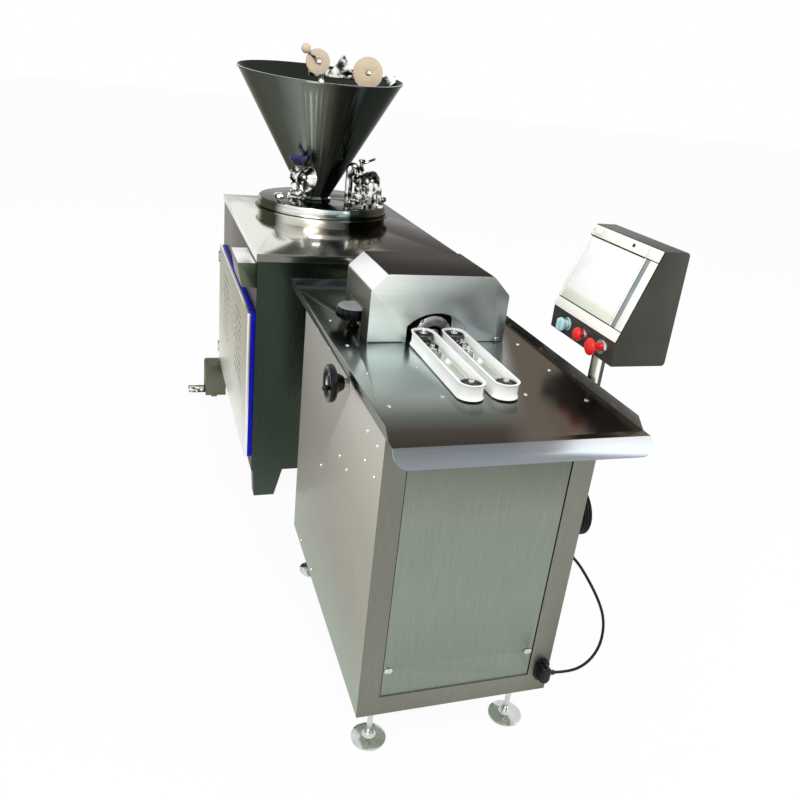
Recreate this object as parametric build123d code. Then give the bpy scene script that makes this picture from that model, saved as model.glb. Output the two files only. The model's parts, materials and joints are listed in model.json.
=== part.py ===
from build123d import *
import os
from math import cos, hypot, pi, radians, sin, tan

# Sausage filling machine: a linker in front, a vacuum filler behind it, joined by a pipe.
# Millimetres. While modelling, x = 0 is the linker cabinet's left side, y = 0 its front
# face and z = 0 the floor; +X is to the right and +Y to the back. At the end everything
# moves so that the origin is the middle of the machine's footprint.

# General
SHEET = 3.0                 # wall of the cabinets
GAP = 0.3                   # clearance between pieces that only pass each other
RUN = 0.05                  # radial clearance of a running fit

# Linker cabinet
CAB_W = 550.0
CAB_D = 925.0
CAB_BOTTOM = 155.0
TABLE_TOP = 1000.0
TABLE_SHEET = 2.5
CAB_TOP = TABLE_TOP - TABLE_SHEET
STILE_L = 58.0
STILE_R = 62.0
RAIL = 59.0
HEADER = 40.0
RETURN = 18.0               # folded return behind the front frame
PANEL_GAP = 2.5
LOCK_Z = 300.0
LOCK_INSET = 13.0
LOCK_R = 9.0

# Levelling feet
FOOT_INSET_X = 65.0
FOOT_INSET_Y = 70.0
PAD_R = 49.0
PAD_H = 34.0
SPINDLE_R = 8.0

# Worktable
TABLE_LEFT = -17.0
TABLE_RIGHT = CAB_W + 64.0
TABLE_FRONT = -95.0
TABLE_BACK = 1115.0
FLANGE_H = 24.0
LIP_DROP = 38.0
LIP_REACH = 31.0
LIP_CORNER = 32.0
PIPE_NOTCH = 30.0

# Sausage path: everything that the sausage passes lies on this line
AXIS_X = CAB_W / 2 + 24.0
AXIS_Z = TABLE_TOP + 23.0

# Belt units
BELT_PITCH = 93.0          # between the two belt units
BELT_HALF = 36.0
BELT_WALL = 7.0
BELT_WAIST = 4.2
BELT_Z = TABLE_TOP + 4.5
BELT_H = 40.5
PULLEY_FRONT_Y = 146.0
PULLEY_REAR_Y = 508.0
PULLEY_H = 30.0
PULLEY_LIFT = 9.0
PIN_R = 5.0
PIN_HEAD_R = 6.5
PIN_HEAD_H = 7.0
BEAM_W = 42.0
BEAM_H = 24.0
BEAM_WALL = 4.0
BEAM_END = 38.0

# Twisting ring, its housing and the stuffing tube
RING_R = 54.0
RING_BORE = 26.0
RING_T = 12.0
RING_FRONT_Y = 546.0
JOURNAL_R = 40.0
JOURNAL_L = 44.0
HOUSING_W = 112.0
HOUSING_TOP = TABLE_TOP + 84.0
HOUSING_BOTTOM = TABLE_TOP - 38.0
HOUSING_BACK_Y = 760.0
HOUSING_EAR = 32.0
TUBE_R = 15.0
TUBE_WALL = 2.0

# Hood
HOOD_LEFT = AXIS_X - 200.0
HOOD_RIGHT = AXIS_X + 222.0
HOOD_FRONT = 544.0
HOOD_BACK = 816.0
HOOD_TOP = TABLE_TOP + 198.0
HOOD_CHAMFER = 47.0
HOOD_SHOULDER = 56.0
HOOD_WALL = 2.5
ARCH_HALF = 91.0
ARCH_SPRING = 47.0          # height at which the arch leaves its straight sides
ARCH_RISE = 40.0
HINGE_R = 5.0
HINGE_LIFT = 18.0
KNOB_NOTCH_FRONT = 620.0
KNOB_NOTCH_BACK = 755.0
KNOB_NOTCH_TOP = TABLE_TOP + 78.0

# Setting knob under the hood's left side
KNOB_X = HOOD_LEFT - 4.0
KNOB_Y = 690.0
KNOB_R = 55.0
KNOB_Z = TABLE_TOP + 30.0
KNOB_H = 30.0
KNOB_STEM_R = 11.0

# Handwheel on the left side
WHEEL_Y = 312.0
WHEEL_Z = TABLE_TOP - 24.0
WHEEL_R = 49.0
WHEEL_REACH = 66.0
SPINNER_R = 30.0            # from the handwheel's axis to its spinner knob's
SHAFT_R = 8.0

# Transfer pipe
PIPE_R = 19.0
PIPE_WALL = 1.5
PIPE_BEND = 70.0
OUTLET_Z = TABLE_TOP - 42.0
NUT_R = 33.0
NUT_L = 24.0

# Console on its post
POST_X = CAB_W + 95.0
POST_Y = 220.0
POST_R = 19.0
POST_FOOT_Z = TABLE_TOP - 132.0
POST_LOAD_Z = TABLE_TOP - 100.0
CON_FRONT_X = CAB_W + 50.0
CON_NEAR_Y = 96.0
CON_FAR_Y = 418.0
CON_BOTTOM = TABLE_TOP + 96.0
CON_CHIN = 60.0
CON_FACE = 245.0            # length of the sloped face
CON_LEAN = 19.3             # degrees from vertical
CON_TOP_D = 70.0
CON_BACK_X = CON_FRONT_X + 156.0
CON_ROUND = 10.0
SCREEN_NEAR = 152.0
SCREEN_FAR = 404.0
SCREEN_LOW = 31.0
SCREEN_HIGH = 222.0
BEZEL_BORDER = 13.0
BEZEL_T = 6.0
GLASS_T = 4.0
BUTTON_Z = CON_BOTTOM + 33.0
STOP_NEAR_Y = 152.0
STOP_FAR_Y = 247.0
SELECTOR_Y = 330.0
STOP_NEAR_R = 22.0
STOP_FAR_R = 18.0
STOP_TRAVEL = 4.0
STOP_NEAR_REACH = 30.0      # the near button is pulled out, the far one pushed home
STOP_FAR_REACH = 13.0

# Cable and its glands
CABLE_D = 8.0
GLAND_X = CAB_W - 24.0
GLAND_Z = 230.0
EXIT_Y = 78.0
EXIT_Z = 560.0
COIL_Y = 102.0
COIL_Z = 690.0
COIL_R = 70.0
COIL_PACK = 32.0
COIL_X = CAB_W + 33.0

# Filler
FIL_LEFT = -94.0
FIL_RIGHT = 740.0
FIL_FRONT = 1398.0
FIL_BACK = 2637.0
FIL_BOTTOM = 122.0
FIL_TOP = 1033.0
CAP_T = 4.0
CAP_OUT = 4.0
CAP_LIP = 26.0
LEG_TOP_W = 124.0
LEG_BOTTOM_W = 84.0
LEG_DEPTH = 60.0
DOOR_FRONT = 1400.0
DOOR_BACK = 2526.0
DOOR_BOTTOM = 190.0
DOOR_TOP = 805.0
DOOR_T = 12.0
GASKET_T = 19.0
GASKET_W = 12.0
BAY_MARGIN = 52.0
VENT_INSET = 190.0          # from the door's front edge to its first vents
VENT_RISE = 250.0           # from the door's foot to its lowest vents
VENT_L = 250.0
VENT_H = 8.0
VENT_ROWS = 9
VENT_ROW_PITCH = 34.0
VENT_GROUP_PITCH = 480.0
DOOR_PIN_R = 6.0

# Side box and foot pedal
BOX_OUT = 72.0
BOX_L = 240.0
BOX_TOP_Z = 1000.0
BOX_H = 92.0
PEDAL_Y = 2500.0
PEDAL_W = 110.0
PEDAL_BOX = 106.0
PEDAL_TOP = 180.0
PEDAL_L = 84.0
PEDAL_Z = 26.0

# Pump, lid and hopper
PUMP_X = 310.0
PUMP_Y = 2176.0
FLANGE_R = 310.0
FLANGE_Z = 1070.0
FLANGE_T = 6.0
LID_R = 300.0
LID_TOP = 1120.0
LID_WALL = 10.0
CHAMBER_R = 150.0
CHAMBER_Z = 905.0
PUMP_WALL = 14.0
ROTOR_CLEAR = 1.0
ROTOR_SHAFT_R = 25.0
VANES = 6
VANE_T = 12.0
HOPPER_X = 273.5
HOPPER_Y = 2184.0
HOPPER_TOP = 1658.0
HOPPER_R = 366.0
MOUTH_SLOPE = 4.5           # degrees by which the mouth falls towards the front
THROAT_R = 60.0
HOPPER_WALL = 2.5
RIM_R = 4.0
RIM_ROOM = 60.0
TILT_PIN_R = 10.0
TILT_Z = FLANGE_Z + 30.0
TILT_BACK = 26.0

# Scraper in the hopper
SCRAPER_R = 14.0
CROSS_Z = 1660.0
CROSS_H = 34.0
CROSS_T = 8.0
DISC_A = (-23.0, 1703.0, 53.0)      # offset from the hopper's axis, height, radius
DISC_B = (205.0, 1678.0, 68.0)
DISC_T = 16.0
HUB_R = 9.0
ARM_R = 4.5
BALL = (-80.0, 1751.0, 21.0)

# Valves on the lid
LEFT_VALVE = (154.0, 2012.0)
RIGHT_VALVE = (418.0, 2018.0)
VALVE_Z = 1238.0
VALVE_R = 27.0
BELL_R = 37.0
BELL_WALL = 4.0
STUB_R = 17.0
STEM_R = 6.0

MIN3 = (Align.MIN, Align.MIN, Align.MIN)
UPRIGHT = (Align.CENTER, Align.CENTER, Align.MIN)


def block(x0, x1, y0, y1, z0, z1):
    """A block between two corners."""
    return Pos(x0, y0, z0) * Box(x1 - x0, y1 - y0, z1 - z0, align=MIN3)


def rod(start, direction, radius, length):
    """A round bar that starts at a point and runs along a direction."""
    return Plane(origin=start, z_dir=direction) * Cylinder(radius, length, align=UPRIGHT)


def pipe(start, direction, radius, bore, length):
    return rod(start, direction, radius, length) - rod(start, direction, bore, length)


def turned(outline, start=(0, 0, 0), direction=(0, 0, 1)):
    """A turned piece: an outline of (radius, height) points spun about its own axis."""
    face = Plane.XZ * make_face(Polyline(*outline, close=True))
    return Plane(origin=start, z_dir=direction) * revolve(face, Axis.Z)


def hexagon_bar(start, direction, radius, length):
    return Plane(origin=start, z_dir=direction) * extrude(RegularPolygon(radius, 6), length)


def profile_along_y(points, y0, y1):
    """A closed outline of (x, z) points, drawn out from y0 to y1."""
    face = Plane(origin=(0, y0, 0), x_dir=(1, 0, 0), z_dir=(0, -1, 0)) * make_face(
        Polyline(*points, close=True))
    return extrude(face, -(y1 - y0))


def profile_along_x(points, x0, x1):
    """A closed outline of (y, z) points, drawn out from x0 to x1."""
    face = Plane(origin=(x0, 0, 0), x_dir=(0, 1, 0), z_dir=(1, 0, 0)) * make_face(
        Polyline(*points, close=True))
    return extrude(face, x1 - x0)


def screw_head(start, direction):
    """A low dome head, about 12 mm across."""
    return turned([(0, 0), (6, 0), (5.2, 2), (2.5, 3.2), (0, 3.2)], start, direction)


# Linker cabinet

def front_frame():
    outer = block(0, CAB_W, 0, SHEET, CAB_BOTTOM, CAB_TOP)
    left, right = STILE_L, CAB_W - STILE_R
    low, high = CAB_BOTTOM + RAIL, CAB_TOP - HEADER
    returns = block(left - SHEET, right + SHEET, 0, RETURN, low - SHEET, high + SHEET)
    return outer + returns - block(left, right, -SHEET, 2 * RETURN, low, high)


def front_service_panel():
    left, right = STILE_L + PANEL_GAP, CAB_W - STILE_R - PANEL_GAP
    low, high = CAB_BOTTOM + RAIL, CAB_TOP - HEADER - PANEL_GAP
    face = block(left, right, SHEET, 2 * SHEET, low, high)
    tray = block(left, right, SHEET, RETURN, low, high)
    tray -= block(left + SHEET, right - SHEET, 0, 2 * RETURN, low + SHEET, high - SHEET)
    panel = face + tray
    for x in lock_places():
        panel -= rod((x, 0, LOCK_Z), (0, 1, 0), SPINDLE_R / 2 + RUN, RETURN)
    return panel


def lock_places():
    inset = PANEL_GAP + LOCK_INSET
    return (STILE_L + inset, CAB_W - STILE_R - inset)


def panel_lock(x):
    """Quarter-turn lock: oval head in front, stem through the panel, cam bar behind."""
    head = extrude(Plane(origin=(x, SHEET - GAP, LOCK_Z), x_dir=(1, 0, 0), z_dir=(0, -1, 0))
                   * SlotOverall(2 * LOCK_R + 5, 2 * LOCK_R - 3), 4)
    head = fillet(head.edges().group_by(Axis.Y)[0], 1.5)
    stem = rod((x, SHEET - GAP, LOCK_Z), (0, 1, 0), SPINDLE_R / 2, RETURN)
    reach = LOCK_INSET - SHEET - 2
    cam = block(x - reach / 2, x + reach / 2, 3 * SHEET, 4 * SHEET, LOCK_Z - reach, LOCK_Z + reach)
    return head + stem + cam


def left_side_panel():
    panel = block(0, SHEET, SHEET, CAB_D, CAB_BOTTOM, CAB_TOP)
    fold = block(SHEET, SHEET + RETURN, SHEET, 2 * SHEET, CAB_BOTTOM + SHEET, CAB_TOP)
    fold -= block(SHEET, 2 * SHEET + RETURN, 0, 3 * SHEET, WHEEL_Z - 30, CAB_TOP)
    bush = rod((-8, WHEEL_Y, WHEEL_Z), (1, 0, 0), SHAFT_R + 7, 30)
    bush += rod((-3, WHEEL_Y, WHEEL_Z), (1, 0, 0), SHAFT_R + 12, 3)
    bore = rod((-20, WHEEL_Y, WHEEL_Z), (1, 0, 0), SHAFT_R + RUN, 60)
    return panel + fold + bush - bore


def right_side_panel():
    x = CAB_W
    panel = block(x - SHEET, x, SHEET, CAB_D, CAB_BOTTOM, CAB_TOP)
    hook_z = COIL_Z + COIL_R - COIL_PACK / 2 - CABLE_D / 2 - GAP
    hook = rod((x, COIL_Y, hook_z), (1, 0, 0), CABLE_D / 2, 64)
    tip = rod((x + 60, COIL_Y, hook_z), (0, 0, 1), CABLE_D / 2, 24)
    return panel + hook + tip


def back_and_base():
    """Rear wall and floor, folded from one sheet."""
    back = block(SHEET, CAB_W - SHEET, CAB_D - SHEET, CAB_D, CAB_BOTTOM, CAB_TOP)
    base = block(SHEET, CAB_W - SHEET, SHEET, CAB_D, CAB_BOTTOM, CAB_BOTTOM + SHEET)
    low = CAB_BOTTOM - SHEET
    for x, y in foot_places():
        base += block(x - 26, x + 26, y - 26, y + 26, low, CAB_BOTTOM + SHEET)
    return back + base


def foot_places():
    xs = (FOOT_INSET_X, CAB_W - FOOT_INSET_X)
    ys = (FOOT_INSET_Y, CAB_D - FOOT_INSET_Y)
    return [(x, y) for x in xs for y in ys]


def levelling_feet():
    """Dished pads and threaded spindles with a lock nut below the base."""
    pads, spindles = [], []
    seat = PAD_H - 10
    for x, y in foot_places():
        pad = turned([(0, 0), (PAD_R, 0), (PAD_R, 5), (PAD_R - 8, 9), (20, 15), (14, seat),
                      (0, seat)], (x, y, 0))
        pads.append(pad)
        stem = rod((x, y, seat), (0, 0, 1), SPINDLE_R, CAB_BOTTOM - SHEET - seat)
        stem += rod((x, y, seat), (0, 0, 1), 12, 8)
        stem += hexagon_bar((x, y, CAB_BOTTOM - SHEET - 11), (0, 0, 1), 15, 11)
        spindles.append(stem)
    return pads + spindles


def worktable():
    """Polished top: upturned left, right and back edges, and a lip that slopes down in front."""
    x0, x1, y0, y1 = TABLE_LEFT, TABLE_RIGHT, TABLE_FRONT, TABLE_BACK
    t, top = TABLE_SHEET, TABLE_TOP
    sheet = block(x0, x1, y0, y1, top - t, top)
    left = profile_along_x([(y0, top), (y0 + 30, top), (y0 + 60, top + FLANGE_H), (y1, top + FLANGE_H),
                            (y1, top), (y1, top - t), (y0, top - t)], x0, x0 + t)
    right = Pos(x1 - t - x0, 0, 0) * left
    back = block(x0, x1, y1 - t, y1, top - t, top + FLANGE_H)
    notch = block(AXIS_X - PIPE_NOTCH, AXIS_X + PIPE_NOTCH, y1 - 2 * t, y1 + t, top, top + 2 * FLANGE_H)
    slope = hypot(LIP_REACH, LIP_DROP)
    fold = Plane(origin=((x0 + x1) / 2, y0, top), x_dir=(1, 0, 0), z_dir=(0, -LIP_DROP, LIP_REACH))
    lip = extrude(fold * RectangleRounded(x1 - x0, 2 * slope, LIP_CORNER), -t)
    lip -= block(x0 - 1, x1 + 1, y0, y0 + 2 * slope, top - 1, top + 2 * slope)
    lip -= block(x0 - 1, x1 + 1, y0 + t, y0 + 2 * slope, top - 2 * t, top)
    table = sheet + left + right + (back - notch) + lip
    slot_x = HOUSING_W / 2 + 3
    slot_back = HOUSING_BACK_Y + NUT_L + 10
    table -= block(AXIS_X - slot_x, AXIS_X + slot_x, RING_FRONT_Y - 4, slot_back, top - 2 * t, top + t)
    table -= rod((KNOB_X, KNOB_Y, top - 2 * t), (0, 0, 1), KNOB_STEM_R + RUN, 3 * t)
    return table


def panel_screws():
    """Dome screws on the left side and on the table."""
    side = [(738, 974), (572, 974), (140, 924), (55, 927), (138, 846), (56, 845), (371, 734),
            (292, 734), (579, 592), (786, 180), (611, 185)]
    heads = [screw_head((0, y, z), (-1, 0, 0)) for y, z in side]
    rows = [(AXIS_X - 1 + s * 262, y) for s in (-1, 1) for y in (110, 313, 518, 734)]
    rows += [(AXIS_X - 1 + s * 112, y) for s in (-1, 1) for y in (155, 350)]
    heads += [screw_head((x, y, TABLE_TOP), (0, 0, 1)) for x, y in rows]
    return heads


def handwheel():
    """Black wheel: rounded rim, dished web and a conical hub towards the cabinet."""
    r, reach = WHEEL_R, WHEEL_REACH
    outline = [(SHAFT_R, 0), (16, 0), (19, 4), (r - 14, 7), (r - 10, 0), (r - 3, 0), (r, 5), (r, 12),
               (r - 4, 19), (r - 12, 21), (28, 23), (18, 44), (SHAFT_R, 44)]
    wheel = turned(outline, (-reach, WHEEL_Y, WHEEL_Z), (1, 0, 0))
    knob_outline = [(0, 9), (7, 9), (7, 0), (8, -6), (6, -16), (0, -18)]
    knob = turned(knob_outline, (-reach, WHEEL_Y - SPINNER_R, WHEEL_Z), (1, 0, 0))
    return wheel + knob


def handwheel_shaft():
    """Bright shaft with a collar between the hub and the bushing."""
    shaft = rod((-WHEEL_REACH, WHEEL_Y, WHEEL_Z), (1, 0, 0), SHAFT_R, WHEEL_REACH + 45)
    return shaft + rod((-21.7, WHEEL_Y, WHEEL_Z), (1, 0, 0), SHAFT_R + 5, 13)


# Belt units

def unit_x(side):
    return AXIS_X + side * BELT_PITCH / 2


def belt(side):
    """An endless belt on edge, with a hollow outer face that cradles the sausage."""
    x, mid = unit_x(side), (PULLEY_FRONT_Y + PULLEY_REAR_Y) / 2
    length = PULLEY_REAR_Y - PULLEY_FRONT_Y
    spot = Plane(origin=(x, mid, BELT_Z), x_dir=(0, 1, 0), z_dir=(0, 0, 1))
    levels = ((0, 0), (0.22, BELT_WAIST), (0.78, BELT_WAIST), (1, 0))
    solid = None
    for (low, cut_low), (high, cut_high) in zip(levels, levels[1:]):
        half_low, half_high = BELT_HALF - cut_low, BELT_HALF - cut_high
        a = spot.offset(low * BELT_H) * SlotOverall(length + 2 * half_low, 2 * half_low)
        b = spot.offset(high * BELT_H) * SlotOverall(length + 2 * half_high, 2 * half_high)
        piece = loft([a.face(), b.face()])
        solid = piece if solid is None else solid + piece
    inner = BELT_HALF - BELT_WALL
    return solid - extrude(spot.offset(-1) * SlotOverall(length + 2 * inner, 2 * inner), BELT_H + 2)


def pulley(side, y):
    """Dished pulley with flats for the belt's inner face."""
    r = BELT_HALF - BELT_WALL - GAP
    low, high = TABLE_TOP + PULLEY_LIFT, TABLE_TOP + PULLEY_LIFT + PULLEY_H
    outline = [(PIN_R + RUN, low), (r, low), (r, high), (r - 4, high), (r - 7, high - 10), (12, high - 10),
               (10, high - 4), (PIN_R + RUN, high - 4)]
    return turned(outline, (unit_x(side), y, 0))


def pulley_pins():
    """Shouldered pins with a bright hexagon on top, one in each pulley."""
    pins = []
    seat = TABLE_TOP + PULLEY_LIFT - GAP
    head = TABLE_TOP + PULLEY_LIFT + PULLEY_H - 4 + GAP
    for side in (-1, 1):
        for y in (PULLEY_FRONT_Y, PULLEY_REAR_Y):
            spot = (unit_x(side), y, TABLE_TOP)
            pin = rod(spot, (0, 0, 1), PIN_R, head - TABLE_TOP + 1)
            pin += rod(spot, (0, 0, 1), PIN_R + 5, seat - TABLE_TOP)
            pin += hexagon_bar((spot[0], y, head), (0, 0, 1), PIN_HEAD_R, PIN_HEAD_H)
            pins.append(pin)
    return pins


def belt_beams():
    """Channel that carries each belt's strands between the pulleys."""
    y0, y1 = PULLEY_FRONT_Y + BEAM_END, PULLEY_REAR_Y - BEAM_END
    beams = []
    for side in (-1, 1):
        x, top = unit_x(side), TABLE_TOP + BEAM_H
        beam = block(x - BEAM_W / 2, x + BEAM_W / 2, y0, y1, TABLE_TOP, top)
        inner = BEAM_W / 2 - BEAM_WALL
        beam -= block(x - inner, x + inner, y0 - 1, y1 - 75, TABLE_TOP + BEAM_WALL, top + 1)
        beam = fillet(beam.edges().filter_by(Axis.Z).group_by(Axis.Y)[0], 1.2)
        beams.append(beam)
    return beams


def belt_tensioners():
    """Block, screw and wing nut that pull each rear pulley back."""
    units = []
    y1 = PULLEY_REAR_Y - BEAM_END
    for side in (-1, 1):
        x, top = unit_x(side), TABLE_TOP + BEAM_H
        unit = block(x - 11, x + 11, y1 - 62, y1 - 40, top, top + 13)
        unit += rod((x, y1 - 70, top + 7), (0, 1, 0), 3.5, 62)
        unit += block(x - 3, x + 3, y1 - 22, y1 - 10, top, top + 19)
        unit += block(x - 14, x + 14, y1 - 19, y1 - 14, top + 4, top + 12)
        units.append(unit)
    return units


def linker_drive():
    """Gearbox under the table with its motor below."""
    y = (PULLEY_FRONT_Y + PULLEY_REAR_Y) / 2
    gear_h, motor_h, ribs = 100, 230, 6
    box = block(AXIS_X - 90, AXIS_X + 90, y - 70, y + 70, CAB_TOP - gear_h, CAB_TOP)
    box = fillet(box.edges().filter_by(Axis.Z), 10)
    motor = rod((AXIS_X, y, CAB_TOP - gear_h - motor_h), (0, 0, 1), 62, motor_h + 2)
    for rib in range(ribs):
        motor += rod((AXIS_X, y, CAB_TOP - gear_h - motor_h + 30 + rib * 28), (0, 0, 1), 70, 8)
    return box + motor


# Twisting head

def twist_ring():
    """Chuck ring in front of the housing, with its journal and four grip notches."""
    y = RING_FRONT_Y
    r, b, t = RING_R, RING_BORE, RING_T
    outline = [(b, 0), (r - 9, 0), (r, 5), (r, t), (JOURNAL_R, t), (JOURNAL_R, t + JOURNAL_L),
               (b, t + JOURNAL_L), (b, t + 4), (b + 3, t), (b + 3, 5)]
    ring = turned(outline, (AXIS_X, y, AXIS_Z), (0, 1, 0))
    for turn in range(4):
        a = radians(45 + 90 * turn)
        ring -= rod((AXIS_X + r * cos(a), y - 1, AXIS_Z + r * sin(a)), (0, 1, 0), 5, t + 1 - GAP)
    return ring


def ring_housing():
    """Block in the table's slot, with ears on the table and a stepped bore along the sausage path."""
    y0, y1 = RING_FRONT_Y + RING_T + GAP, HOUSING_BACK_Y
    half = HOUSING_W / 2
    body = block(AXIS_X - half, AXIS_X + half, y0, y1, HOUSING_BOTTOM, HOUSING_TOP)
    body = fillet(body.edges().filter_by(Axis.Y).group_by(Axis.Z)[-1], 24)
    ears = block(AXIS_X - half - HOUSING_EAR, AXIS_X + half + HOUSING_EAR, y0 + 60, y1 - 20,
                 TABLE_TOP, TABLE_TOP + 8)
    body += ears
    body -= rod((AXIS_X, y0 - 1, AXIS_Z), (0, 1, 0), JOURNAL_R + RUN, JOURNAL_L + 1 + 1)
    return body - rod((AXIS_X, y0, AXIS_Z), (0, 1, 0), TUBE_R + RUN, y1 - y0 + 1)


def stuffing_tube():
    tip = RING_FRONT_Y + 2
    tube = pipe((AXIS_X, tip, AXIS_Z), (0, 1, 0), TUBE_R, TUBE_R - TUBE_WALL, HOUSING_BACK_Y - tip)
    return tube


def hood_outline(inset):
    """Outline of the hood in (x, z): chamfered left shoulder, rounded right shoulder."""
    left, right, top = HOOD_LEFT + inset, HOOD_RIGHT - inset, HOOD_TOP - inset
    low = TABLE_TOP + GAP if inset == 0 else TABLE_TOP - 10
    slope = inset * tan(radians(22.5))
    return [(left, low), (left, HOOD_TOP - HOOD_CHAMFER - slope),
            (HOOD_LEFT + HOOD_CHAMFER + slope, top), (HOOD_RIGHT - HOOD_SHOULDER - slope, top),
            (right, HOOD_TOP - HOOD_SHOULDER - slope), (right, low)]


def hood():
    """Folded cover, open below and behind, with an arched mouth and a notch for the knob."""
    shell = profile_along_y(hood_outline(0), HOOD_FRONT, HOOD_BACK)
    shoulder = shell.edges().filter_by(Axis.Y).filter_by(lambda e: e.center().Z > TABLE_TOP + 40)
    shell = fillet(shoulder, 12)
    inner = profile_along_y(hood_outline(HOOD_WALL), HOOD_FRONT + HOOD_WALL, HOOD_BACK + 10)
    edges = inner.edges().filter_by(Axis.Y).filter_by(lambda e: e.center().Z > TABLE_TOP + 40)
    shell -= fillet(edges, 12 - HOOD_WALL)
    mid_x = AXIS_X + 6
    spring = TABLE_TOP + ARCH_SPRING
    mouth = Polyline((mid_x - ARCH_HALF, spring), (mid_x - ARCH_HALF, TABLE_TOP - 20),
                     (mid_x + ARCH_HALF, TABLE_TOP - 20), (mid_x + ARCH_HALF, spring))
    arch = ThreePointArc((mid_x + ARCH_HALF, spring), (mid_x, spring + ARCH_RISE),
                         (mid_x - ARCH_HALF, spring))
    front = Plane(origin=(0, HOOD_FRONT - 5, 0), x_dir=(1, 0, 0), z_dir=(0, -1, 0))
    face = front * make_face([mouth, arch])
    shell -= extrude(face, -(HOOD_WALL + 10))
    shell -= block(HOOD_LEFT - 5, HOOD_LEFT + 10, KNOB_NOTCH_FRONT, KNOB_NOTCH_BACK,
                   TABLE_TOP - 1, KNOB_NOTCH_TOP)
    y, z = hood_pivot()
    corner = block(HOOD_LEFT - 5, HOOD_RIGHT + 5, y, HOOD_BACK + 5, TABLE_TOP - 5, z)
    corner -= rod((HOOD_LEFT - 5, y, z), (1, 0, 0), HINGE_LIFT - GAP, HOOD_RIGHT - HOOD_LEFT + 10)
    shell -= corner
    shell -= rod((HOOD_LEFT - 5, y, z), (1, 0, 0), HINGE_R + RUN, HOOD_RIGHT - HOOD_LEFT + 10)
    return shell + hood_knobs()


def hood_knobs():
    """Round head at the foot of the right front corner, to lift the hood by."""
    spot = (HOOD_RIGHT - 26, HOOD_FRONT, TABLE_TOP + 12)
    return turned([(0, 0), (4, 0), (4, 5), (7, 6), (7, 11), (5, 13), (0, 13)], spot, (0, -1, 0))


def hood_pivot():
    return HOOD_BACK - HINGE_LIFT, TABLE_TOP + HINGE_LIFT


def hood_hinges():
    """Two brackets inside the hood's rear corners, each with its pin."""
    y, z = hood_pivot()
    parts = []
    for wall, inward in ((HOOD_LEFT, 1), (HOOD_RIGHT, -1)):
        inner = wall + inward * (HOOD_WALL + GAP)
        a, b = sorted((inner, inner + inward * 6))
        ear = block(a, b, y - 12, y + 12, TABLE_TOP, z)
        ear += rod((a, y, z), (1, 0, 0), 12, b - a)
        a2, b2 = sorted((inner, inner + inward * 34))
        ear += block(a2, b2, y - 12, y + 12, TABLE_TOP, TABLE_TOP + 4)
        pin_a, pin_b = sorted((wall - inward * 1.5, inner + inward * 3))
        ear += rod((pin_a, y, z), (1, 0, 0), HINGE_R, pin_b - pin_a)
        parts.append(ear)
    return parts


def setting_knob():
    """Black disc with a knurled edge on a stem that turns in the table."""
    disc = turned([(0, 0), (KNOB_R - 4, 0), (KNOB_R, 4), (KNOB_R, KNOB_H - 4), (KNOB_R - 4, KNOB_H),
                   (22, KNOB_H), (18, KNOB_H - 4), (0, KNOB_H - 4)], (KNOB_X, KNOB_Y, KNOB_Z))
    for turn in range(18):
        a = radians(20 * turn)
        x, y = KNOB_X + KNOB_R * cos(a), KNOB_Y + KNOB_R * sin(a)
        disc -= rod((x, y, KNOB_Z - 1), (0, 0, 1), 3, KNOB_H + 2)
    stem = rod((KNOB_X, KNOB_Y, CAB_TOP - 14), (0, 0, 1), KNOB_STEM_R, KNOB_Z - CAB_TOP + 15)
    stem += rod((KNOB_X, KNOB_Y, TABLE_TOP + GAP), (0, 0, 1), KNOB_STEM_R + 7, 8)
    stem += rod((KNOB_X, KNOB_Y, CAB_TOP - 14), (0, 0, 1), KNOB_STEM_R + 5, 14 - GAP)
    return disc + stem


# Transfer pipe between the two machines

def transfer_route():
    drop = 1285.0
    return [(AXIS_X, HOUSING_BACK_Y, AXIS_Z), (AXIS_X, drop - 120, AXIS_Z), (AXIS_X, drop, OUTLET_Z),
            (AXIS_X, PUMP_Y - CHAMBER_R - PUMP_WALL - GAP, OUTLET_Z)]


def transfer_pipe():
    """Bright pipe from the pump to the ring housing, with a ferrule at each end."""
    points = transfer_route()
    path = FilletPolyline(*points, radius=PIPE_BEND)
    start = Plane(origin=points[0], z_dir=(0, 1, 0))
    solid = sweep(start * Circle(PIPE_R), path=path) - sweep(start * Circle(PIPE_R - PIPE_WALL), path=path)
    solid += pipe(points[0], (0, 1, 0), NUT_R - 6, TUBE_R, 4)
    return solid


def union_nuts():
    """Grooved nut at the ring housing, and a round collar where the pipe enters the filler."""
    nut = pipe((AXIS_X, HOUSING_BACK_Y + 5, AXIS_Z), (0, 1, 0), NUT_R - 2, PIPE_R + RUN, NUT_L)
    for turn in range(6):
        a = radians(60 * turn)
        nut -= rod((AXIS_X + 31 * cos(a), HOUSING_BACK_Y, AXIS_Z + 31 * sin(a)), (0, 1, 0), 4, NUT_L + 10)
    collar = pipe((AXIS_X, FIL_FRONT - 12, OUTLET_Z), (0, 1, 0), NUT_R + 6, PIPE_R + RUN, 12)
    return [nut, collar]


# Console

def console_post():
    """Upright tube welded to an arm that is bolted to the cabinet's right side."""
    tube = rod((POST_X, POST_Y, POST_FOOT_Z), (0, 0, 1), POST_R, CON_BOTTOM - GAP - POST_FOOT_Z)
    arm = block(CAB_W + 6, POST_X, POST_Y - 20, POST_Y + 20, POST_LOAD_Z - 25, POST_LOAD_Z + 25)
    arm -= block(CAB_W + 6, POST_X + 1, POST_Y - 17, POST_Y + 17, POST_LOAD_Z - 22, POST_LOAD_Z + 22)
    plate = block(CAB_W, CAB_W + 6, POST_Y - 45, POST_Y + 45, POST_LOAD_Z - 60, POST_LOAD_Z + 60)
    pivot = rod((POST_X, POST_Y, CON_BOTTOM - 20), (0, 0, 1), POST_R - 5, 52)
    return tube + arm + plate + pivot


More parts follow.
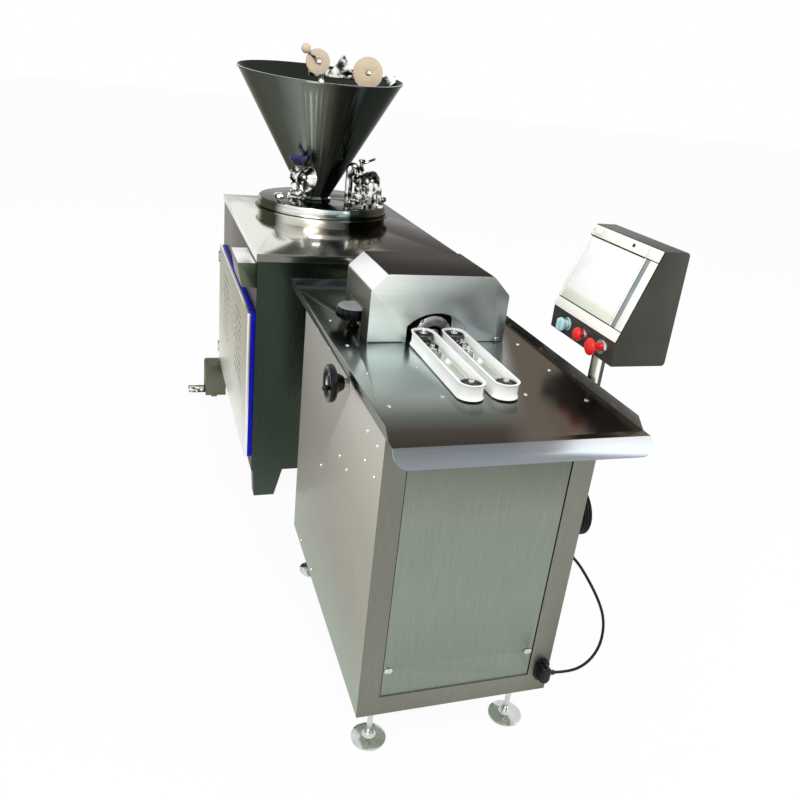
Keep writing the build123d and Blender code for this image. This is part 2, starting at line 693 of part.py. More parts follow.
def face_plane(y=0.0, s=0.0, lift=0.0):
    """A place on the console's sloped face: local x runs towards the front, local y up the slope."""
    lean = radians(CON_LEAN)
    normal = Vector(-cos(lean), 0, sin(lean))
    up = Vector(sin(lean), 0, cos(lean))
    origin = Vector(CON_FRONT_X, y, CON_BOTTOM + CON_CHIN) + up * s + normal * lift
    return Plane(origin=origin, x_dir=(0, -1, 0), z_dir=normal)


def face_block(y0, y1, s0, s1, low, high):
    """A block on the sloped face, from low to high above it."""
    spot = face_plane((y0 + y1) / 2, (s0 + s1) / 2, low)
    return spot * Box(y1 - y0, s1 - s0, high - low, align=UPRIGHT)


def console_housing():
    """Desk-shaped housing: upright chin, sloped face, flat top, rounded back corner."""
    lean = radians(CON_LEAN)
    top_x = CON_FRONT_X + CON_FACE * sin(lean)
    top_z = CON_BOTTOM + CON_CHIN + CON_FACE * cos(lean)
    outline = [(CON_FRONT_X, CON_BOTTOM), (CON_FRONT_X, CON_BOTTOM + CON_CHIN), (top_x, top_z),
               (top_x + CON_TOP_D, top_z), (CON_BACK_X, CON_BOTTOM)]
    body = profile_along_y(outline, CON_NEAR_Y, CON_FAR_Y)
    rear = body.edges().filter_by(Axis.Y).sort_by(Axis.X)
    body = fillet([rear[-1], rear[-2], rear[2]], CON_ROUND)
    body -= console_inside()
    socket = rod((POST_X, POST_Y, CON_BOTTOM), (0, 0, 1), POST_R + 4, 50)
    body += socket
    body -= face_block(SCREEN_NEAR - 2, SCREEN_FAR + 2, SCREEN_LOW - 2, SCREEN_HIGH + 2, -GLASS_T - 4, 20)
    body -= face_block(SCREEN_NEAR - 29, SCREEN_NEAR - 20, SCREEN_LOW, SCREEN_HIGH, -4, 5)
    body -= rod((POST_X, POST_Y, CON_BOTTOM - 1), (0, 0, 1), POST_R - 5 + RUN, 60)
    for y, r in button_places():
        body -= rod((CON_FRONT_X - 1, y, BUTTON_Z), (1, 0, 0), r * 0.5 + RUN, 30)
    return body


def console_inside():
    """The hollow of the housing, behind its sheet walls."""
    lean = radians(CON_LEAN)
    w = SHEET
    depth = GLASS_T + 4 + w
    low_x = CON_FRONT_X + w
    face_x = CON_FRONT_X + depth
    top_z = CON_BOTTOM + CON_CHIN + CON_FACE * cos(lean) - w
    top_x = face_x + CON_FACE * sin(lean)
    chin_z = CON_BOTTOM + CON_CHIN - 12
    outline = [(low_x, CON_BOTTOM + w), (low_x, chin_z), (face_x, chin_z), (top_x, top_z),
               (top_x + CON_TOP_D - depth - w - 4, top_z), (CON_BACK_X - w - 1, CON_BOTTOM + w)]
    return profile_along_y(outline, CON_NEAR_Y + w, CON_FAR_Y - w)


def button_places():
    """Height is shared: near stop, far stop and selector, with the head's radius."""
    return ((STOP_NEAR_Y, STOP_NEAR_R), (STOP_FAR_Y, STOP_FAR_R), (SELECTOR_Y, STOP_FAR_R))


def console_bezel():
    b = BEZEL_BORDER
    frame = face_block(SCREEN_NEAR - b, SCREEN_FAR + b * 0.8, SCREEN_LOW - b, SCREEN_HIGH + b,
                       GAP / 10, BEZEL_T)
    frame = chamfer(frame.edges().group_by(face_axis())[-1], 1.5)
    return frame - face_block(SCREEN_NEAR + 3, SCREEN_FAR - 3, SCREEN_LOW + 3, SCREEN_HIGH - 3, -20, 20)


def face_axis():
    spot = face_plane()
    return Axis(spot.origin, spot.z_dir)


def console_screen():
    """Glass plate under the bezel's edge."""
    return face_block(SCREEN_NEAR, SCREEN_FAR, SCREEN_LOW, SCREEN_HIGH, -GLASS_T, 0)


def button_collars():
    """Threaded collar in front of the chin for each button."""
    collars = []
    for y, r in button_places():
        outline = [(r * 0.5 + RUN, 0), (r * 0.95, 0), (r * 0.85, 6), (r * 0.5 + RUN, 6)]
        collars.append(turned(outline, (CON_FRONT_X, y, BUTTON_Z), (-1, 0, 0)))
    return collars


def stop_button(y, r, reach):
    """Red mushroom head on a stem that slides into the chin."""
    outline = [(0, -24), (r * 0.5, -24), (r * 0.5, reach), (r * 0.8, reach), (r, reach + 5),
               (r * 0.95, reach + 9), (r * 0.55, reach + 13), (0, reach + 14)]
    return turned(outline, (CON_FRONT_X, y, BUTTON_Z), (-1, 0, 0))


def selector_knob():
    """Pale blue knob with a straight grip."""
    r = STOP_FAR_R
    outline = [(0, -24), (r * 0.5, -24), (r * 0.5, 6 + GAP), (r, 6 + GAP), (r * 0.94, 15), (0, 15)]
    knob = turned(outline, (CON_FRONT_X, SELECTOR_Y, BUTTON_Z), (-1, 0, 0))
    x1 = CON_FRONT_X - 14
    return knob + block(x1 - 12, x1, SELECTOR_Y - 4.5, SELECTOR_Y + 4.5,
                        BUTTON_Z - r * 0.9, BUTTON_Z + r * 0.9)


# Cable

def cable_glands():
    """Oval outlet on the front stile, angled outlet on the right side, and the hank's gland."""
    spot = Plane(origin=(GLAND_X, 0, GLAND_Z), x_dir=(0, 0, 1), z_dir=(0, -1, 0))
    front = extrude(spot * SlotOverall(72, 42), 7)
    front += extrude(spot * SlotOverall(56, 32), 34)
    front = fillet(front.edges().group_by(Axis.Y)[0], 8)
    points = [Vector(*p) for p in cable_route()]
    inward = points[0] - points[1]
    front += rod(points[0], inward, CABLE_D / 2 + 3, points[0].X - GLAND_X - 4)
    onward = points[-1] - points[-2]
    reach = (points[-1].X - CAB_W) / abs(onward.X) * onward.length
    side = rod(points[-1], onward, CABLE_D / 2 + 3, reach + 3)
    side += rod(points[-1] + onward * (14 / onward.length), onward, CABLE_D / 2 + 6, reach - 11)
    plate_y, plate_z = (points[-1] + onward * (reach / onward.length)).Y, EXIT_Z + 12
    side += block(CAB_W, CAB_W + 7, plate_y - 18, plate_y + 18, plate_z - 18, plate_z + 18)
    side -= block(CAB_W - 30, CAB_W, plate_y - 60, plate_y + 60, plate_z - 60, plate_z + 60)
    hank = rod((CAB_W, COIL_Y, COIL_Z - COIL_R), (1, 0, 0), 13, COIL_X - CAB_W - COIL_PACK / 2 - GAP)
    return [front, side, hank]


def cable_route():
    """Points of the control cable, from the front outlet round to the right side."""
    x = CAB_W
    return [(x + 6, -20, GLAND_Z), (x + 54, -21, GLAND_Z - 6), (x + 108, -16, GLAND_Z + 6),
            (x + 147, -5, 274), (x + 157, 5, 330), (x + 146, 13, 388), (x + 116, 24, 448),
            (x + 82, 38, EXIT_Z - 58),
            (x + 56, 56, EXIT_Z - 20), (x + 34, EXIT_Y, EXIT_Z)]


def corner_radii(points):
    """Largest even arc at each corner of a cable's route."""
    radii = []
    for a, b, c in zip(points, points[1:], points[2:]):
        first, second = Vector(*b) - Vector(*a), Vector(*c) - Vector(*b)
        turn = radians(first.get_angle(second))
        radii.append(0.45 * min(first.length, second.length) / tan(turn / 2))
    return radii


def control_cable():
    points = cable_route()
    radii = corner_radii(points)
    print("control cable radii:", [round(r) for r in radii])
    path = FilletPolyline(*points, radius=radii)
    start = Plane(origin=points[0], z_dir=Vector(*points[1]) - Vector(*points[0]))
    tube = sweep(start * Circle(CABLE_D / 2), path=path)
    print("control cable volume over section times length:",
          round(tube.volume / (pi * CABLE_D ** 2 / 4 * path.length), 4))
    return tube


def spare_cable_coil():
    """The hank of spare cable on its hook, as one round bundle."""
    spot = Plane(origin=(COIL_X, COIL_Y, COIL_Z), z_dir=(1, 0, 0))
    return spot * Torus(COIL_R, COIL_PACK / 2)


# Filler

def filler_base():
    """Floor pan on four tapered sheet legs."""
    pan = block(FIL_LEFT + SHEET, FIL_RIGHT - SHEET, FIL_FRONT + SHEET, FIL_BACK - SHEET,
                FIL_BOTTOM, FIL_BOTTOM + 2 * SHEET)
    for x, lean in ((FIL_LEFT + 7, 1), (FIL_RIGHT - 7, -1)):
        for y in (FIL_FRONT + 4, FIL_BACK - 4 - LEG_DEPTH):
            outline = [(x, FIL_BOTTOM + SHEET), (x + lean * LEG_TOP_W, FIL_BOTTOM + SHEET),
                       (x + lean * (7 + LEG_BOTTOM_W), 0), (x + lean * 7, 0)]
            pan += profile_along_y(outline, y, y + LEG_DEPTH)
    return pan


def filler_casing():
    """Front, right and rear walls folded from one sheet."""
    x0, x1 = FIL_LEFT, FIL_RIGHT
    y0, y1 = FIL_FRONT, FIL_BACK
    outer = block(x0, x1, y0, y1, FIL_BOTTOM, FIL_TOP)
    inner = block(x0 - SHEET, x1 - SHEET, y0 + SHEET, y1 - SHEET, FIL_BOTTOM - 1, FIL_TOP + 1)
    walls = outer - inner
    return walls - rod((AXIS_X, y0 - 1, OUTLET_Z), (0, 1, 0), PIPE_R + GAP, SHEET + 2)


def bay():
    """Opening in the left wall behind the side door: y0, y1, z0, z1."""
    m = BAY_MARGIN
    return DOOR_FRONT + m, DOOR_BACK - m, DOOR_BOTTOM + m, DOOR_TOP - m


def filler_left_wall():
    wall = block(FIL_LEFT, FIL_LEFT + SHEET, FIL_FRONT + SHEET, FIL_BACK - SHEET, FIL_BOTTOM, FIL_TOP)
    y0, y1, z0, z1 = bay()
    rim = block(FIL_LEFT, FIL_LEFT + RETURN, y0 - SHEET, y1 + SHEET, z0 - SHEET, z1 + SHEET)
    wall += rim
    wall -= block(FIL_LEFT - 1, FIL_LEFT + 2 * RETURN, y0, y1, z0, z1)
    y, x = door_pivot()
    for z in (DOOR_BOTTOM + 40, DOOR_TOP - 90):
        wall += block(x - 9, FIL_LEFT, y + 12, y + 18, z, z + 50)
        wall += block(x - 9, x + 9, y - 9, y + 18, z, z + 6)
        wall += block(x - 9, x + 9, y - 9, y + 18, z + 44, z + 50)
        wall += rod((x, y, z), (0, 0, 1), DOOR_PIN_R, 50)
    return wall


def door_pivot():
    return DOOR_BACK + 14, FIL_LEFT - GASKET_T - DOOR_T / 2


def side_door():
    """Pan-shaped door with rows of vent slots and two hinge knuckles at its rear edge."""
    x1 = FIL_LEFT - GASKET_T
    x0 = x1 - DOOR_T
    door = block(x0, x1, DOOR_FRONT, DOOR_BACK, DOOR_BOTTOM, DOOR_TOP)
    edge = SHEET + GASKET_W
    door -= block(x0 + SHEET, x1 + 1, DOOR_FRONT + SHEET, DOOR_BACK - SHEET, DOOR_BOTTOM + SHEET,
                  DOOR_TOP - SHEET)
    rim = block(x1 - SHEET, x1, DOOR_FRONT + 1, DOOR_BACK - 1, DOOR_BOTTOM + 1, DOOR_TOP - 1)
    rim -= block(x1 - 9, x1 + 1, DOOR_FRONT + edge, DOOR_BACK - edge, DOOR_BOTTOM + edge, DOOR_TOP - edge)
    door += rim
    for group in (0, 1):
        y = DOOR_FRONT + VENT_INSET + group * VENT_GROUP_PITCH
        for row in range(VENT_ROWS):
            z = DOOR_BOTTOM + VENT_RISE + row * VENT_ROW_PITCH
            door -= block(x0 - 1, x0 + SHEET + 1, y, y + VENT_L, z, z + VENT_H)
    y, x = door_pivot()
    for z in (DOOR_BOTTOM + 40, DOOR_TOP - 90):
        knuckle = rod((x, y, z + 6 + GAP), (0, 0, 1), DOOR_PIN_R + 2.5, 38 - 2 * GAP)
        knuckle += block(x - 2, x + 2, DOOR_BACK - 2, y, z + 6 + GAP, z + 44 - GAP)
        door += knuckle - rod((x, y, z), (0, 0, 1), DOOR_PIN_R + RUN, 50)
    return door


def door_gasket():
    """Blue seal round the door's inner edge."""
    ring = block(FIL_LEFT - GASKET_T, FIL_LEFT - GAP, DOOR_FRONT, DOOR_BACK, DOOR_BOTTOM, DOOR_TOP)
    w = GASKET_W
    return ring - block(FIL_LEFT - GASKET_T - 1, FIL_LEFT + 1, DOOR_FRONT + w, DOOR_BACK - w,
                        DOOR_BOTTOM + w, DOOR_TOP - w)


def filler_top_plate():
    """Cap with a lip that hangs outside the walls, and a round opening for the pump."""
    o = CAP_OUT
    x0, x1, y0, y1 = FIL_LEFT - o, FIL_RIGHT + o, FIL_FRONT - o, FIL_BACK + o
    cap = block(x0, x1, y0, y1, FIL_TOP - CAP_LIP, FIL_TOP + CAP_T)
    cap -= block(x0 + o - GAP, x1 - o + GAP, y0 + o - GAP, y1 - o + GAP, FIL_TOP - CAP_LIP - 1, FIL_TOP)
    return cap - rod((PUMP_X, PUMP_Y, FIL_TOP - 1), (0, 0, 1), CHAMBER_R + PUMP_WALL + GAP, CAP_T + 2)


def side_box():
    """Small junction box with a sloped outer face, high on the left wall."""
    x, z = FIL_LEFT, BOX_TOP_Z
    outline = [(x, z), (x - BOX_OUT, z), (x - BOX_OUT + 16, z - BOX_H), (x, z - BOX_H - 4)]
    box = profile_along_y(outline, FIL_FRONT + 6, FIL_FRONT + 6 + BOX_L)
    return fillet(box.edges().filter_by(Axis.Y).group_by(Axis.X)[0], 4)


def pedal_housing():
    """Box beside the rear left leg, open towards the pedal."""
    x1 = FIL_LEFT
    x0 = x1 - PEDAL_BOX
    half = PEDAL_W / 2
    box = block(x0, x1, PEDAL_Y - half, PEDAL_Y + half, 8, PEDAL_TOP)
    box = fillet(box.edges().filter_by(Axis.Y).group_by(Axis.Z)[-1].sort_by(Axis.X)[0], 14)
    box -= block(x0 - 1, x0 + 30, PEDAL_Y - half + 6, PEDAL_Y + half - 6, 0, 60)
    box += block(x0 + 30, x0 + 60, PEDAL_Y - half, PEDAL_Y + half, 0, 9)
    return box + rod((x0 + 16, PEDAL_Y - half + 3, PEDAL_Z + 4), (0, 1, 0), 4, PEDAL_W - 6)


def foot_pedal():
    """Low plate with a turned-up side and a barrel round the housing's pin."""
    x0 = FIL_LEFT - PEDAL_BOX
    half = PEDAL_W / 2 - 10
    plate = block(x0 - PEDAL_L, x0 + 10, PEDAL_Y - half, PEDAL_Y + half, PEDAL_Z - 4, PEDAL_Z)
    plate = fillet(plate.edges().filter_by(Axis.Z).group_by(Axis.X)[0], 12)
    pivot = (x0 + 16, PEDAL_Y - half, PEDAL_Z + 4)
    barrel = rod(pivot, (0, 1, 0), 9, 2 * half)
    for rib in range(5):
        x = x0 - PEDAL_L + 12 + rib * 13
        plate += block(x, x + 4, PEDAL_Y - half + 8, PEDAL_Y + half - 8, PEDAL_Z - 1, PEDAL_Z + 2)
    return plate + barrel - rod((pivot[0], PEDAL_Y - half - 1, pivot[2]), (0, 1, 0), 4 + RUN, 2 * half + 2)


def pump_housing():
    """Chamber below the top plate with a wide polished flange above it."""
    r, w = CHAMBER_R, PUMP_WALL
    low = CHAMBER_Z - w
    outline = [(ROTOR_SHAFT_R + RUN, low), (r + w, low), (r + w, FIL_TOP + CAP_T),
               (LID_R - 4, FIL_TOP + CAP_T), (LID_R - 4, FLANGE_Z), (FLANGE_R, FLANGE_Z),
               (FLANGE_R, FLANGE_Z + FLANGE_T),
               (r, FLANGE_Z + FLANGE_T), (r, CHAMBER_Z), (ROTOR_SHAFT_R + RUN, CHAMBER_Z)]
    body = turned(outline, (PUMP_X, PUMP_Y, 0))
    body -= rod((AXIS_X, PUMP_Y - r - w - 10, OUTLET_Z), (0, 1, 0), PIPE_R - PIPE_WALL, w + 40)
    y = PUMP_Y + LID_R + TILT_BACK
    for x in (PUMP_X - 60, PUMP_X + 42):
        ear = block(x, x + 18, PUMP_Y + LID_R - 6, y + 14, FLANGE_Z, FLANGE_Z + FLANGE_T)
        ear += block(x, x + 18, y - 12, y + 14, FLANGE_Z, TILT_Z)
        ear += rod((x, y + 1, TILT_Z), (1, 0, 0), 13, 18)
        body += ear
        body += block(x, x + 18, y - 12, y + 14, FIL_TOP + CAP_T, FLANGE_Z)
    return body + rod((PUMP_X - 60, y, TILT_Z), (1, 0, 0), TILT_PIN_R, 120)


def pump_rotor():
    """Slotted rotor with its shaft, and the vanes in the slots as separate solids."""
    top = FLANGE_Z + FLANGE_T - ROTOR_CLEAR
    core_r = CHAMBER_R * 0.72
    core = rod((PUMP_X, PUMP_Y, CHAMBER_Z + ROTOR_CLEAR), (0, 0, 1), core_r, top - CHAMBER_Z - ROTOR_CLEAR)
    vanes = []
    for turn in range(VANES):
        spot = Pos(PUMP_X, PUMP_Y, 0) * Rot(0, 0, 360 / VANES * turn)
        reach = CHAMBER_R - ROTOR_CLEAR
        root = core_r * 0.45
        half, half_slot = VANE_T / 2, VANE_T / 2 + GAP / 2
        slot = block(root, core_r + 5, -half_slot, half_slot, CHAMBER_Z, top + 1)
        vane = block(root + GAP / 2, reach, -half, half, CHAMBER_Z + ROTOR_CLEAR, top)
        vane &= rod((0, 0, CHAMBER_Z), (0, 0, 1), reach, top - CHAMBER_Z)
        core -= spot * slot
        vanes.append(spot * vane)
    core += rod((PUMP_X, PUMP_Y, CHAMBER_Z - PUMP_WALL - 40), (0, 0, 1), ROTOR_SHAFT_R, PUMP_WALL + 60)
    return [core] + vanes


def pump_drive():
    """Gearbox under the pump and its motor, standing on the floor pan."""
    top = CHAMBER_Z - PUMP_WALL
    box = block(PUMP_X - 140, PUMP_X + 140, PUMP_Y - 140, PUMP_Y + 140, top - 230, top)
    box = fillet(box.edges().filter_by(Axis.Z), 24)
    box -= rod((PUMP_X, PUMP_Y, top - 60), (0, 0, 1), ROTOR_SHAFT_R + 3, 61)
    floor = FIL_BOTTOM + 2 * SHEET
    motor = rod((PUMP_X, PUMP_Y, floor), (0, 0, 1), 120, top - 230 - floor)
    for level in range(6):
        motor += rod((PUMP_X, PUMP_Y, floor + 90 + level * 50), (0, 0, 1), 134, 12)
    return box + motor


def lid():
    """Domed cover over the pump, with a step below its top and a hinge arm behind."""
    r, top, base = LID_R, LID_TOP, FLANGE_Z + FLANGE_T
    w = LID_WALL
    boss = CHAMBER_R + PUMP_WALL
    outline = [(0, top), (r - 10, top), (r - 6, top - 3), (r - 4, top - 14), (r, top - 14), (r, base),
               (r - w, base), (r - w, top - w), (boss, top - w), (boss, base), (CHAMBER_R, base),
               (CHAMBER_R, base + 2), (0, base + 2)]
    cover = turned(outline, (PUMP_X, PUMP_Y, 0))
    inlet = rod((HOPPER_X, HOPPER_Y, base - 1), (0, 0, 1), THROAT_R - 4, top - base + 2)
    spider = rod((HOPPER_X, HOPPER_Y, top - w), (0, 0, 1), SCRAPER_R + 8, w)
    spider += block(HOPPER_X - THROAT_R, HOPPER_X + THROAT_R, HOPPER_Y - 5, HOPPER_Y + 5, top - w, top)
    cover = cover - inlet + (spider & rod((HOPPER_X, HOPPER_Y, top - w), (0, 0, 1), THROAT_R - 3, w))
    cover -= rod((HOPPER_X, HOPPER_Y, base), (0, 0, 1), SCRAPER_R + RUN, top - base + 1)
    y = PUMP_Y + r + TILT_BACK
    arm = block(PUMP_X - 41, PUMP_X + 41, PUMP_Y + r - 12, y, TILT_Z - 12, TILT_Z + 14)
    arm += rod((PUMP_X - 41, y, TILT_Z), (1, 0, 0), 15, 82)
    return cover + (arm - rod((PUMP_X - 42, y, TILT_Z), (1, 0, 0), TILT_PIN_R + RUN, 84))


def cone_radius(z):
    """Outer radius of the hopper's cone at a height."""
    return THROAT_R + (HOPPER_R - THROAT_R) * (z - LID_TOP) / (HOPPER_TOP - LID_TOP)


def hopper():
    """Cone with a foot flange on the lid, a mouth cut on a slope and a flat band round it."""
    w, foot, high = HOPPER_WALL, LID_TOP, HOPPER_TOP + RIM_ROOM
    wide = cone_radius(high)
    outline = [(THROAT_R - 4, foot), (THROAT_R + 14, foot), (THROAT_R + 14, foot + 5),
               (THROAT_R + 3, foot + 5), (wide, high), (wide - w, high), (THROAT_R - 4, foot + 4)]
    cone = turned(outline, (HOPPER_X, HOPPER_Y, 0))
    low = HOPPER_TOP - RIM_ROOM
    band = turned([(cone_radius(low) - 1, low), (cone_radius(low) + RIM_R, low), (wide + RIM_R, high),
                   (wide - 1, high)], (HOPPER_X, HOPPER_Y, 0))
    tilt = radians(MOUTH_SLOPE)
    mouth = Plane(origin=(HOPPER_X, HOPPER_Y, HOPPER_TOP), x_dir=(1, 0, 0),
                  z_dir=(0, -sin(tilt), cos(tilt)))
    above = mouth * Box(3 * HOPPER_R, 3 * HOPPER_R, 4 * RIM_ROOM, align=UPRIGHT)
    slab = mouth * Pos(0, 0, -2 * RIM_R) * Box(3 * HOPPER_R, 3 * HOPPER_R, 2 * RIM_R, align=UPRIGHT)
    return (cone - above) + (band & slab)


def scraper():
    """Shaft, cross plate and wall blade that turn in the hopper, with a bracket and a lever arm."""
    x, y = HOPPER_X, HOPPER_Y
    shaft_top = DISC_A[1] - DISC_A[2] - GAP
    shaft = rod((x, y, LID_TOP - LID_WALL), (0, 0, 1), SCRAPER_R, shaft_top - LID_TOP + LID_WALL)
    half = CROSS_T / 2
    top = CROSS_Z + CROSS_H / 2
    cross = block(x - 60, x + 250, y - half, y + half, top - CROSS_H, top)
    gap = 14
    low = LID_TOP + 90
    blade = profile_along_y([(x + cone_radius(low) - gap - 22, low), (x + cone_radius(low) - gap, low),
                             (x + cone_radius(CROSS_Z - 20) - gap, CROSS_Z - 20),
                             (x + cone_radius(CROSS_Z - 20) - gap - 2, top), (x + 230, top),
                             (x + cone_radius(CROSS_Z - 20) - gap - 26, CROSS_Z - 20)], y - half, y + half)
    foot = block(x, x + cone_radius(low) - gap - 10, y - half, y + half, low, low + 20)
    gusset = [(x + 44, top - 4), (x + 136, top - 4), (x + 98, top + 62), (x + 88, top + 62)]
    bracket = profile_along_y(gusset, y - half, y + half)
    arm_start = Vector(x + DISC_A[0], y - half - DISC_T - 5, DISC_A[1])
    arm_end = Vector(x + BALL[0], y - half - DISC_T - 5, BALL[1])
    arm = rod(arm_start, arm_end - arm_start, ARM_R, (arm_end - arm_start).length)
    hub = rod((x + DISC_A[0], y - half - DISC_T - 11, DISC_A[1]), (0, 1, 0), HUB_R, DISC_T + 11 + half)
    plate = block(x + DISC_A[0] - 14, x + DISC_A[0] + 14, y - half, y + half, top - 4, DISC_A[1] + 14)
    bolt = rod((x + DISC_B[0], y - half - DISC_T - 3, DISC_B[1]), (0, 1, 0), HUB_R, DISC_T + 3 + half)
    return shaft + cross + blade + foot + bracket + arm + hub + plate + bolt


def nylon_discs():
    """Two thick discs bolted to the cross plate, and the ball on the lever arm."""
    y = HOPPER_Y - CROSS_T / 2
    discs = []
    for dx, z, r in (DISC_A, DISC_B):
        spot = (HOPPER_X + dx, y - DISC_T, z)
        disc = rod(spot, (0, 1, 0), r, DISC_T)
        disc = chamfer(disc.edges().filter_by(GeomType.CIRCLE), 2)
        disc -= rod(spot, (0, 1, 0), HUB_R + RUN, DISC_T)
        discs.append(disc - rod(spot, (0, 1, 0), 14, 5))
    arm_y = y - DISC_T - 5
    start = Vector(HOPPER_X + DISC_A[0], arm_y, DISC_A[1])
    centre = Vector(HOPPER_X + BALL[0], arm_y, BALL[1])
    ball = Plane(origin=centre, z_dir=centre - start) * Sphere(BALL[2])
    return discs + [ball - rod(start, centre - start, ARM_R + RUN, (centre - start).length + RUN)]


# Valves on the lid

def valve_body(x, y, heading, length):
    """Stub on the lid and a level barrel that ends in an open bell."""
    direction = Vector(cos(radians(heading)), sin(radians(heading)), -0.08)
    centre = Vector(x, y, VALVE_Z)
    start = centre - direction * 30
    neck, mouth = VALVE_R - 4, length + 30
    barrel = turned([(0, 0), (VALVE_R - 5, 0), (VALVE_R, 5), (VALVE_R, 54), (neck, 58), (neck, mouth - 20),
                     (BELL_R, mouth - 6), (BELL_R, mouth), (BELL_R - BELL_WALL, mouth),
                     (neck - BELL_WALL, mouth - 22), (neck - BELL_WALL, 62), (0, 62)], start, direction)
    stub = rod((x, y, LID_TOP), (0, 0, 1), STUB_R, VALVE_Z - LID_TOP)
    stub += rod((x, y, LID_TOP), (0, 0, 1), STUB_R + 14, 9)
    stub += hexagon_bar((x, y, LID_TOP + 34), (0, 0, 1), STUB_R + 9, 22)
    stub += rod((x, y, VALVE_Z + VALVE_R - 4), (0, 0, 1), 11, 10)
    stub += rod((x, y, VALVE_Z), (0, 0, 1), STEM_R, VALVE_R + 36)
    return barrel + stub


def valve_bodies():
    """The left valve, and the right one with its return bend and drain elbow."""
    x, y = LEFT_VALVE
    left = valve_body(x, y, -52, 72)
    x, y = RIGHT_VALVE
    right = valve_body(x + 24, y - 4, -58, 66)
    high = VALVE_Z + 50
    bend = FilletPolyline((x - 24, y + 14, LID_TOP), (x - 24, y + 14, high), (x + 8, y + 22, high),
                          (x + 8, y + 22, VALVE_Z), radius=15)
    right += sweep(Plane(origin=(x - 24, y + 14, LID_TOP), z_dir=(0, 0, 1)) * Circle(17), path=bend)
    drain = FilletPolyline((x + 40, y - 10, VALVE_Z - 28), (x + 104, y - 6, VALVE_Z - 28),
                           (x + 104, y - 6, LID_TOP), radius=34)
    right += sweep(Plane(origin=(x + 40, y - 10, VALVE_Z - 28), z_dir=(64, 4, 0)) * Circle(22), path=drain)
    right += rod((x + 104, y - 6, LID_TOP), (0, 0, 1), 27, 16)
    right += block(x + 120, x + 150, y - 10, y - 2, LID_TOP + 3, LID_TOP + 12)
    return [left, right]


def left_valve_lever():
    """Blue wing handle, wide on top and narrow at its hub."""
    x, y = LEFT_VALVE
    z = VALVE_Z + VALVE_R + 6 + GAP
    wing = Plane(origin=(x, y - 7, z), x_dir=(1, 0, 0), z_dir=(0, -1, 0)) * make_face(
        Polyline((-9, 0), (9, 0), (36, 40), (36, 50), (-36, 50), (-36, 40), close=True))
    lever = extrude(wing, -14)
    return lever - rod((x, y, z - 1), (0, 0, 1), STEM_R + RUN, 31)


def right_valve_lever():
    """Hub with a T knob and a bar that slopes up and away."""
    x, y = RIGHT_VALVE[0] + 24, RIGHT_VALVE[1] - 4
    z = VALVE_Z + VALVE_R + 6 + GAP
    hub = rod((x, y, z), (0, 0, 1), 10, 46)
    hub += turned([(0, 0), (13, 0), (15, 6), (13, 12), (0, 12)], (x, y, z + 42))
    bar = rod((x, y, z + 34), (56, -24, 30), 5, 66)
    return hub + bar - rod((x, y, z - 1), (0, 0, 1), STEM_R + RUN, 31)


NODES = {
    "front_frame": front_frame,
    "front_service_panel": front_service_panel,
    "left_panel_lock": lambda: panel_lock(lock_places()[0]),
    "right_panel_lock": lambda: panel_lock(lock_places()[1]),
    "left_side_panel": left_side_panel,
    "right_side_panel": right_side_panel,
    "back_and_base": back_and_base,
    "levelling_feet": levelling_feet,
    "worktable": worktable,
    "panel_screws": panel_screws,
    "handwheel": handwheel,
    "handwheel_shaft": handwheel_shaft,
    "left_belt": lambda: belt(-1),
    "right_belt": lambda: belt(1),
    "left_drive_pulley": lambda: pulley(-1, PULLEY_REAR_Y),
    "left_idler_pulley": lambda: pulley(-1, PULLEY_FRONT_Y),
    "right_drive_pulley": lambda: pulley(1, PULLEY_REAR_Y),
    "right_idler_pulley": lambda: pulley(1, PULLEY_FRONT_Y),
    "pulley_pins": pulley_pins,
    "belt_beams": belt_beams,
    "belt_tensioners": belt_tensioners,
    "linker_drive": linker_drive,
    "twist_ring": twist_ring,
    "ring_housing": ring_housing,
    "stuffing_tube": stuffing_tube,
    "hood": hood,
    "hood_hinges": hood_hinges,
    "setting_knob": setting_knob,
    "transfer_pipe": transfer_pipe,
    "union_nuts": union_nuts,
    "console_post": console_post,
    "console_housing": console_housing,
    "console_bezel": console_bezel,
    "console_screen": console_screen,
    "button_collars": button_collars,
    "near_stop_button": lambda: stop_button(STOP_NEAR_Y, STOP_NEAR_R, STOP_NEAR_REACH),
    "far_stop_button": lambda: stop_button(STOP_FAR_Y, STOP_FAR_R, STOP_FAR_REACH),
    "selector_knob": selector_knob,
    "cable_glands": cable_glands,
    "control_cable": control_cable,
    "spare_cable_coil": spare_cable_coil,
    "filler_base": filler_base,
    "filler_casing": filler_casing,
    "filler_left_wall": filler_left_wall,
    "filler_top_plate": filler_top_plate,
    "side_door": side_door,
    "door_gasket": door_gasket,
    "side_box": side_box,
    "pedal_housing": pedal_housing,
    "foot_pedal": foot_pedal,
    "pump_housing": pump_housing,
    "pump_rotor": pump_rotor,
    "pump_drive": pump_drive,
    "lid": lid,
    "hopper": hopper,
    "scraper": scraper,
    "nylon_discs": nylon_discs,
    "valve_bodies": valve_bodies,
    "left_valve_lever": left_valve_lever,
    "right_valve_lever": right_valve_lever,
}
CABLE_NODES = ("control_cable", "spare_cable_coil")


def build():
    """All nodes in modelling coordinates, and the offset to the middle of the footprint."""
    solids = {}
    for name, make in NODES.items():
        made = make()
        parts = made if isinstance(made, list) else [made]
        solids[name] = Compound(children=[s for part in parts for s in part.solids()])
    box = Compound([s for n in solids if n not in CABLE_NODES for s in solids[n].solids()]).bounding_box()
    middle = (box.min + box.max) * 0.5
    return solids, Vector(middle.X, middle.Y, box.min.Z)


def main():
    os.makedirs("parts", exist_ok=True)
    solids, origin = build()
    for name, shape in solids.items():
        export_step(Pos(-origin.X, -origin.Y, -origin.Z) * shape, f"parts/{name}.step")
    print("origin in modelling coordinates:", origin)


if __name__ == "__main__":
    main()
